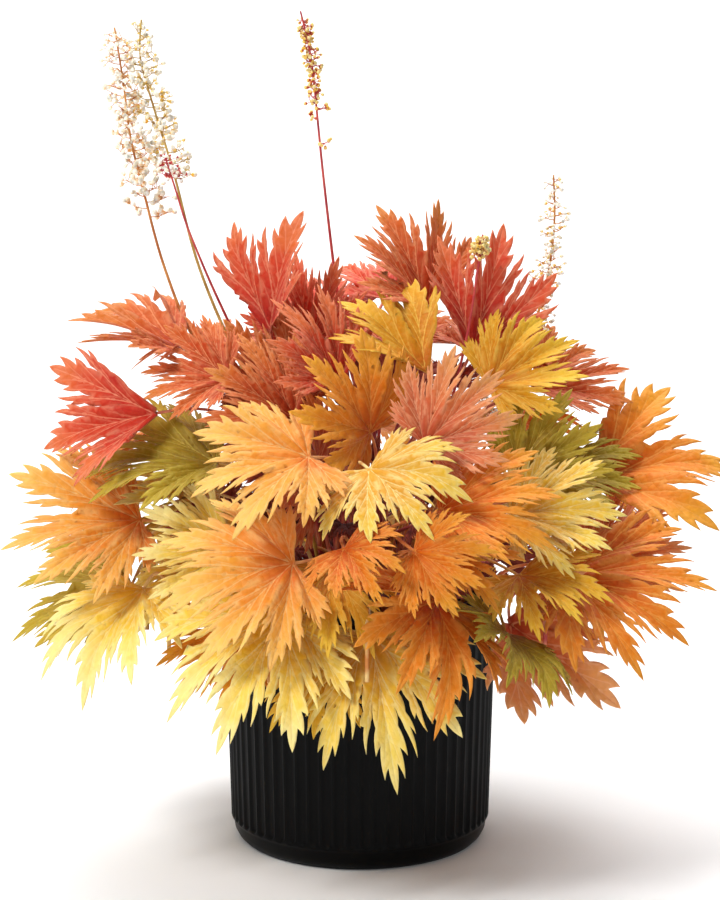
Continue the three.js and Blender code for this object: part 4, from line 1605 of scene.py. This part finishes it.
@dataclass(frozen=True)
class FlowerStalk:
    """A flower stalk: points of its stem in millimetres, and the head's sprays of bells.

    The head starts at a share of the stem and holds sprays times fullness branchlets, whose lengths run from
    the first spray length to the second. They crowd towards the tip where crowd is under 1. The lowest hold
    the most bells, and no bell goes above the ceiling.
    """

    name: str
    slot: str
    stem: PlainFinish
    petal: PlainFinish
    calyx: PlainFinish
    points: tuple[Point, ...]
    head: float
    sprays: int
    spray: tuple[float, float]
    bells: int
    bell_size: float
    fullness: int
    crowd: float = 1.0

    STEPS_PER_KNOT = 20
    LINE_POINTS = 33
    STEM = 1.5
    STEM_TAPER = 0.95
    TOP = 0.985
    CEILING = 521.0
    SHORTER = (0.6, 1.0)
    SPRAYS_APART = 2.4
    SPRAY_RISE = 0.25
    SPRAY_SAG = 0.08
    SPRAY_RADII = (0.4, 0.32, 0.22)
    BARE = 0.45
    BELL_STEM = 0.2
    BELL_REACH = (1.6, 3.2)
    BELL_SIZES = (0.75, 1.1)

    def line(self) -> list[Vector]:
        """Evenly spaced points of the stem.

        Returns:
            The points in millimetres.
        """
        knots = [Vector(p) for p in self.points]
        ends = [knots[0] * 2 - knots[1], *knots, knots[-1] * 2 - knots[-2]]
        fine = []
        for a, b, c, d in zip(ends, ends[1:], ends[2:], ends[3:]):
            for i in range(self.STEPS_PER_KNOT):
                t = i / self.STEPS_PER_KNOT
                twice = (
                    b * 2
                    + (c - a) * t
                    + (a * 2 - b * 5 + c * 4 - d) * t * t
                    + (b * 3 - a - c * 3 + d) * t**3
                )
                fine.append(0.5 * twice)
        fine.append(knots[-1])
        lengths = np.cumsum([0] + [(q - p).length for p, q in zip(fine, fine[1:])])
        even = np.linspace(0, lengths[-1], self.LINE_POINTS)
        flat = np.array([tuple(p) for p in fine])
        return [Vector([np.interp(at, lengths, flat[:, axis]) for axis in range(3)]) for at in even]

    def build(self) -> None:
        """Builds the stalk with its sprays and bells, and ties it to its node."""
        luck = random.Random(self.name)
        line = self.line()
        foot = Vector((line[0].x, line[0].y, SOIL_TOP - HOLE_DEPTH))
        stem = [(p, self.STEM - self.STEM_TAPER * i / (len(line) - 1)) for i, p in enumerate(line)]
        runs = [[(foot, self.STEM), *stem]]
        places = []
        total = self.sprays * self.fullness
        for i in range(total):
            share = i / (total - 1)
            at = (self.head + (self.TOP - self.head) * share**self.crowd) * (len(line) - 1)
            start = line[int(at)].lerp(line[min(int(at) + 1, len(line) - 1)], at - int(at))
            length = self.spray[0] + (self.spray[1] - self.spray[0]) * share
            length *= luck.uniform(*self.SHORTER)
            turn = i / self.fullness * GOLDEN_ANGLE + (i % self.fullness) * self.SPRAYS_APART
            out = Vector((math.cos(turn), math.sin(turn), self.SPRAY_RISE)) * length
            self._spray(start, out, share, luck, runs, places)
        stems = tubes(self.name + "_stems", runs, 2)
        coat(stems, self.stem.material())
        bell = Bell().model(self.petal.material(), self.calyx.material())
        piece = joined([stems, *scattered(bell, places)], self.name + "_flowers")
        dress(piece, self.slot, self.name)

    def _spray(
        self,
        start: Vector,
        out: Vector,
        share: float,
        luck: random.Random,
        runs: list[Run],
        places: list[Matrix],
    ) -> None:
        """Adds one spray: a branchlet and its bells on short stems.

        Args:
            start: where it leaves the stem.
            out: from there to its tip.
            share: how far up the head it stands.
            luck: the stalk's own random numbers.
            runs: the stems, which grow by this spray's.
            places: the bells' places, which grow by this spray's.
        """
        tip = start + out
        middle = start + out * 0.5 - Vector((0, 0, self.SPRAY_SAG * out.length))
        runs.append(list(zip((start, middle, tip), self.SPRAY_RADII)))
        count = max(1, round(self.bells * (1.15 - 0.6 * share)))
        for j in range(count):
            base = start.lerp(tip, self.BARE + (1 - self.BARE) * (j + 1) / count)
            way = Vector((luck.gauss(0, 1), luck.gauss(0, 1), luck.gauss(0.15, 0.7))).normalized()
            reach = luck.uniform(*self.BELL_REACH) * self.bell_size
            end = base + way * reach
            if end.z > self.CEILING:
                continue
            runs.append([(base, self.BELL_STEM), (end, self.BELL_STEM)])
            size = self.bell_size * luck.uniform(*self.BELL_SIZES) * (1 - 0.25 * share)
            places.append(Matrix.Translation(end * MM) @ facing(way) @ Matrix.Scale(size, 4))


# name, slot, stem, petal and calyx finishes, points, then the head, sprays, spray lengths, bells a spray,
# bell size, fullness and crowd
STALKS = (
    FlowerStalk(
        "stalk_01", "stalk_tan", TAN_FINISH, CREAM_FINISH, BLUSH_FINISH,
        (
            (-12, 10, SOIL_TOP), (-38, 12, 225), (-80, 14, 290), (-106, 15, 322), (-124, 15, 367),
            (-136, 15, 413), (-144, 15, 448), (-148, 15, 482), (-153, 15, 516),
        ),
        0.7, 15, (15, 8), 8, 1.3, 3, 0.8,
    ),
    FlowerStalk(
        "stalk_02", "stalk_tan", OLIVE_FINISH, CREAM_FINISH, BUD_FINISH,
        (
            (-20, 4, SOIL_TOP), (-44, 10, 240), (-80, 18, 312), (-103, 22, 368), (-118, 24, 426),
            (-131, 24, 470), (-138, 24, 498), (-137, 24, 521),
        ),
        0.74, 12, (15, 8), 8, 1.3, 3, 0.8,
    ),
    FlowerStalk(
        "stalk_03", "stalk_red", RED_FINISH, CREAM_FINISH, RED_FINISH,
        (
            (-14, 18, SOIL_TOP), (-36, 8, 238), (-82, -4, 333), (-105, -10, 388), (-114, -10, 416),
            (-121, -10, 439),
        ),
        0.95, 5, (7, 5), 5, 1.2, 2,
    ),
    FlowerStalk(
        "stalk_04", "stalk_red", RED_FINISH, BUD_FINISH, BRICK_FINISH,
        (
            (2, 22, SOIL_TOP), (-4, 22, 260), (-18, 20, 378), (-24, 18, 432), (-28, 16, 474), (-31, 14, 500),
            (-37, 12, 526),
        ),
        0.78, 11, (5, 1.6), 5, 0.95, 4, 0.42,
    ),
    FlowerStalk(
        "stalk_05", "stalk_red", RED_FINISH, BUD_FINISH, BUD_FINISH,
        ((18, -4, SOIL_TOP), (40, -20, 225), (56, -32, 285), (66, -36, 330), (71, -36, 362), (75, -36, 391)),
        0.95, 6, (3.2, 2.2), 4, 1.0, 5, 0.8,
    ),
    FlowerStalk(
        "stalk_06", "stalk_tan", TAN_FINISH, CREAM_FINISH, BUD_FINISH,
        (
            (20, 12, SOIL_TOP), (56, 20, 230), (94, 26, 292), (112, 28, 330), (121, 30, 365), (124, 30, 396),
            (123, 30, 424),
        ),
        0.46, 17, (15, 5), 7, 1.1, 3, 0.75,
    ),
)


# ---------------------------------------------------------------- pot, soil and crown


@dataclass(frozen=True)
class Pot:
    """The ribbed pot: radii and heights in millimetres."""

    height: float = 165.0
    rim: float = 87.5
    shoulder: float = 83.5
    foot: float = 75.0
    foot_height: float = 14.0
    lip: float = 3.0
    ribs: int = 64
    rib_depth: float = 1.5
    rib_width: float = 0.17
    rib_fade: float = 1.6
    arch: float = 3.2
    wall: float = 4.0
    floor: float = 5.0

    SAMPLES = 8

    def _rings(self) -> list[tuple[float, float, float]]:
        """The pot's profile from the middle of its underside, up the outside and down the inside.

        Returns:
            Radius, height and share of the rib relief of each ring.
        """
        bottom = [
            (self.foot - 2, 0.0, 0.0), (self.foot + 1.5, 0.6, 0.0), (self.foot + 4.2, 3.2, 0.0),
            (self.foot + 6.2, 7.0, 0.0), (self.shoulder - 1.6, 11.5, 0.0), (self.shoulder - 0.9, 13.5, 0.0),
        ]
        slope = (self.rim - self.shoulder) / (self.height - self.lip - self.foot_height - 2)
        heights = [14.5, 15.5, 16.5, 17.5, 19, 22, 40, 70, 100, 130, 150, 158]
        ribbed = [(self.shoulder + slope * (z - 16), z, 1.0) for z in heights]
        edge = self.height - self.lip
        top = [
            (self.rim - 0.1, edge - 0.8, 1.0), (self.rim - 0.2, edge, 0.0),
            (self.rim, self.height - 1.6, 0.0), (self.rim - 0.5, self.height - 0.3, 0.0),
            (self.rim - 1.2, self.height, 0.0),
        ]
        inner = self.rim - self.wall
        inside = [
            (inner + 0.8, self.height, 0.0), (inner, self.height - 0.8, 0.0), (inner - 1.2, 120.0, 0.0),
            (self.shoulder - self.wall, 20.0, 0.0), (self.foot - self.wall, self.floor, 0.0),
        ]
        return bottom + ribbed + top + inside

    def build(self) -> None:
        """Models the pot ring by ring and ties it to its node."""
        count = self.ribs * self.SAMPLES
        rings = self._rings()
        circle = {"vertices": count, "radius": rings[0][0] * MM, "fill_type": "NGON"}
        piece = added(bpy.ops.mesh.primitive_circle_add, **circle)
        bpy.ops.object.mode_set(mode="EDIT")
        for (before, low, _), (after, high, _) in zip(rings, rings[1:]):
            bpy.ops.mesh.extrude_region_move(TRANSFORM_OT_translate={"value": (0, 0, (high - low) * MM)})
            share = after / before
            bpy.ops.transform.resize(value=(share, share, 1), center_override=(0, 0, 0))
        leave_edit()
        self._flute(piece.data)
        piece.data.shade_smooth()
        coat(piece, POT_FINISH.material())
        settle(piece)
        piece.name = "pot_ribbed"
        dress(piece, "pot", "pot")

    def _flute(self, mesh: bpy.types.Mesh) -> None:
        """Sinks the bands between the thin ribs, each with a rounded lower end.

        Args:
            mesh: the pot's mesh.
        """
        points = coordinates(mesh) / MM
        radius = np.hypot(points[:, 0], points[:, 1])
        phase = (np.degrees(np.arctan2(points[:, 1], points[:, 0])) * self.ribs / 360) % 1
        apart = np.minimum(phase, 1 - phase)
        sunk = 1 - np.exp(-((apart / self.rib_width) ** 2))
        lower_end = self.foot_height + 0.6 + self.arch * (2 * apart - 1) ** 2
        fade = np.clip((points[:, 2] - lower_end) / self.rib_fade, 0, 1)
        outside = radius > self.shoulder - 2.5
        ribbed = outside & (points[:, 2] > self.foot_height) & (points[:, 2] < self.height - self.lip - 0.1)
        depth = np.where(ribbed, self.rib_depth * sunk * fade, 0.0)
        points[:, :2] *= ((radius - depth) / np.maximum(radius, TINY))[:, None]
        write_coordinates(mesh, points * MM)


@dataclass(frozen=True)
class Soil:
    """Potting mix with crumbs of bark: sizes in millimetres."""

    bottom_radius: float = 68.0
    low_radius: float = 74.5
    low_height: float = 20.0
    clearance: float = 0.6
    sunk: float = 1.5
    bumps: float = 0.7
    crumbs: int = 420
    crumb_sizes: tuple[float, float] = (0.7, 1.9)

    SIDES = 64
    RING_SHARES = (0.94, 0.82, 0.68, 0.54, 0.4, 0.26, 0.12)

    def build(self) -> None:
        """Models the soil and its crumbs, and ties them to the node."""
        low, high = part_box("soil")
        radius, top = high.x - self.clearance * MM, high.z - self.sunk * MM
        circle = {"vertices": self.SIDES, "radius": self.bottom_radius * MM, "fill_type": "NGON"}
        piece = added(bpy.ops.mesh.primitive_circle_add, location=(0, 0, low.z), **circle)
        bpy.ops.object.mode_set(mode="EDIT")
        rings = [(self.low_radius * MM, self.low_height * MM), (radius, top)]
        rings += [(radius * share, top) for share in self.RING_SHARES]
        for ring_radius, height in rings:
            bpy.ops.mesh.extrude_region_move()
            self._raise_ring(piece, ring_radius, height)
        leave_edit()
        settle(piece)
        self._roughen(piece.data, high.z)
        coat(piece, SOIL_FINISH.material())
        piece = joined([piece, *self._crumbs(high.z, radius)], "soil_mix")
        piece.data.shade_smooth()
        dress(piece, "soil", "soil")

    @staticmethod
    def _raise_ring(piece: bpy.types.Object, radius: float, height: float) -> None:
        """Brings the ring that was just extruded to a radius and a height.

        Args:
            piece: the piece in edit mode.
            radius: the ring's new radius, in metres.
            height: its new height, in metres.
        """
        piece.update_from_editmode()
        chosen = [v.co.copy() for v in piece.data.vertices if v.select]
        now = max(math.hypot(c.x, c.y) for c in chosen)
        level = chosen[0].z + piece.location.z
        share = radius / now
        bpy.ops.transform.resize(value=(share, share, 1), center_override=(0, 0, 0))
        bpy.ops.transform.translate(value=(0, 0, height - level))

    def _roughen(self, mesh: bpy.types.Mesh, top: float) -> None:
        """Makes the top uneven.

        Args:
            mesh: the soil's mesh.
            top: height of the soil, in metres.
        """
        points = coordinates(mesh)
        x, y, z = points.T
        inner = (z > top - 0.003) & (np.hypot(x, y) < 0.078)
        bumps = np.sin(210 * x + 1) * np.cos(190 * y) + 0.6 * np.sin(430 * x - 260 * y)
        points[inner, 2] += self.bumps * MM * bumps[inner]
        write_coordinates(mesh, points)

    def _crumbs(self, top: float, radius: float) -> list[bpy.types.Object]:
        """Scatters crumbs of bark over the top.

        Args:
            top: height of the soil, in metres.
            radius: radius of the soil, in metres.

        Returns:
            The crumbs.
        """
        luck = random.Random(11)
        crumb = added(bpy.ops.mesh.primitive_ico_sphere_add, subdivisions=1, radius=1.0)
        points = coordinates(crumb.data)
        points *= 1 + 0.25 * np.sin(5 * points[:, [1, 2, 0]] + 1)
        write_coordinates(crumb.data, points)
        coat(crumb, bpy.data.materials[SOIL_FINISH.name])
        places = []
        for _ in range(self.crumbs):
            away = (radius - 0.004) * math.sqrt(luck.random())
            turn = luck.uniform(0, 2 * math.pi)
            size = luck.uniform(*self.crumb_sizes) * MM
            spot = Vector((away * math.cos(turn), away * math.sin(turn), top - 0.0016))
            angle = luck.uniform(0, math.pi)
            lean = Matrix.Rotation(angle, 4, Vector((luck.random(), luck.random(), 1)).normalized())
            flake = Matrix.Diagonal((size * 1.5, size, size * 0.5, 1))
            places.append(Matrix.Translation(spot) @ lean @ flake)
        return scattered(crumb, places)


@dataclass(frozen=True)
class Crown:
    """The low woody lump that the shoots grow from; the knobs are shares of its half size."""

    size: float = 0.86
    knobs: tuple[float, float, float] = (0.06, 0.05, 0.02)

    def build(self) -> None:
        """Models the knobbly crown and ties it to its node."""
        low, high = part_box("crown")
        centre = (low + high) / 2
        half = (high - low) / 2
        piece = added(bpy.ops.mesh.primitive_ico_sphere_add, subdivisions=4, radius=1.0)
        points = coordinates(piece.data)
        x, y, z = points.T
        wide, middling, fine = self.knobs
        reach = self.size + wide * np.sin(7 * x + 2) * np.cos(6 * y) + middling * np.sin(13 * z + 5 * x)
        reach += fine * np.sin(31 * y + 17 * z)
        write_coordinates(piece.data, points * reach[:, None] * np.array(half) + np.array(centre))
        piece.data.shade_smooth()
        coat(piece, CROWN_FINISH.material())
        piece.name = "crown_wood"
        dress(piece, "crown", "crown")


# ---------------------------------------------------------------- studio


@dataclass(frozen=True)
class Lamp:
    """A soft square lamp: its place, its side, its power in watts and the place that it shines on."""

    name: str
    place: Point
    size: float
    power: float
    target: Point

    def hang(self) -> None:
        """Hangs the lamp."""
        lamp = bpy.data.lights.new(self.name, "AREA")
        lamp.size = self.size
        lamp.energy = self.power
        holder = shown(self.name, lamp)
        holder.location = self.place
        aim = Vector(self.target) - Vector(self.place)
        holder.rotation_euler = aim.to_track_quat("-Z", "Y").to_euler()


PLANT = (0.0, 0.0, 0.25)
LAMPS = (
    Lamp("key", (-1.05, -1.0, 1.7), 0.6, 28, PLANT),
    Lamp("fill", (1.3, -1.6, 0.9), 1.0, 3.5, PLANT),
    Lamp("low", (-0.5, -1.9, 0.45), 1.0, 4, (0.0, 0.0, 0.05)),
    Lamp("top", (0.1, 0.6, 1.9), 1.4, 10, PLANT),
    Lamp("backdrop", (0.0, 1.4, 3.2), 3.0, 130, (0.0, 3.4, 0.6)),
)


@dataclass(frozen=True)
class Studio:
    """Floor, light and camera: sizes in metres, the camera's dip in degrees and its lens in millimetres."""

    camera_place: Point = (0.0, -1.5, 0.5)
    camera_dip: float = 9.4
    lens: float = 95.8
    sensor: float = 36.0
    view_ends: float = 30.0
    ambient: float = 0.22
    floor_level: float = 0.96
    half_width: float = 7.0
    front: float = -6.0
    bend_from: float = 2.2
    bend_radius: float = 1.4
    wall_top: float = 6.0

    def build(self) -> None:
        """Sets up the floor, the lamps, the even light from all round and the camera."""
        self._floor()
        for lamp in LAMPS:
            lamp.hang()
        world = bpy.data.worlds.new("studio")
        world.use_nodes = True
        background = world.node_tree.nodes["Background"]
        background.inputs["Color"].default_value = grey(1.0)
        background.inputs["Strength"].default_value = self.ambient
        bpy.context.scene.world = world
        bpy.context.scene.view_settings.view_transform = "Standard"
        self._camera()

    def _floor(self) -> None:
        """Lays the pale floor, which sweeps up into a wall at the back."""
        radius, wall = self.bend_radius, self.bend_from + self.bend_radius
        turns = [math.radians(a) for a in range(9, 90, 9)]
        arc = [(self.bend_from + radius * math.sin(a), radius - radius * math.cos(a)) for a in turns]
        sweep = [(self.front, 0.0), (self.bend_from, 0.0), *arc, (wall, radius), (wall, self.wall_top)]
        points = [(x, y, z) for y, z in sweep for x in (-self.half_width, self.half_width)]
        faces = [(i, i + 1, i + 3, i + 2) for i in range(0, len(points) - 2, 2)]
        mesh = bpy.data.meshes.new("studio_floor")
        mesh.from_pydata(points, [], faces)
        mesh.shade_smooth()
        floor = shown("studio_floor", mesh)
        shader = Shader("floor_white", roughness=0.9, specular=0.1)
        shader.surface({"Base Color": grey(self.floor_level)})
        coat(floor, shader.material)
        floor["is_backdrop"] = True

    def _camera(self) -> None:
        """Places the camera in front, a little above the mound."""
        data = bpy.data.cameras.new("camera")
        data.lens = self.lens
        data.sensor_width = self.sensor
        data.clip_end = self.view_ends
        camera = shown("camera", data)
        camera.location = self.camera_place
        camera.rotation_euler = (math.radians(90 - self.camera_dip), 0, 0)
        bpy.context.scene.camera = camera


# ---------------------------------------------------------------- the whole plant


def main() -> None:
    """Builds the plant and its studio round the loaded frame."""
    logging.basicConfig(level=logging.INFO, format="%(name)s: %(message)s")
    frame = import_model()
    cad_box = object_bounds()
    Pot().build()
    Soil().build()
    Crown().build()
    for stalk in STALKS:
        stalk.build()
    mound = Mound(frame["nodes"], cad_box)
    mound.build()
    stems = [on_run([(point, 1.0) for point in stalk.line()]) for stalk in STALKS]
    YoungLeaves().build(np.concatenate([mound.filled(), *stems]))
    Studio().build()


if __name__ == "__main__":
    main()
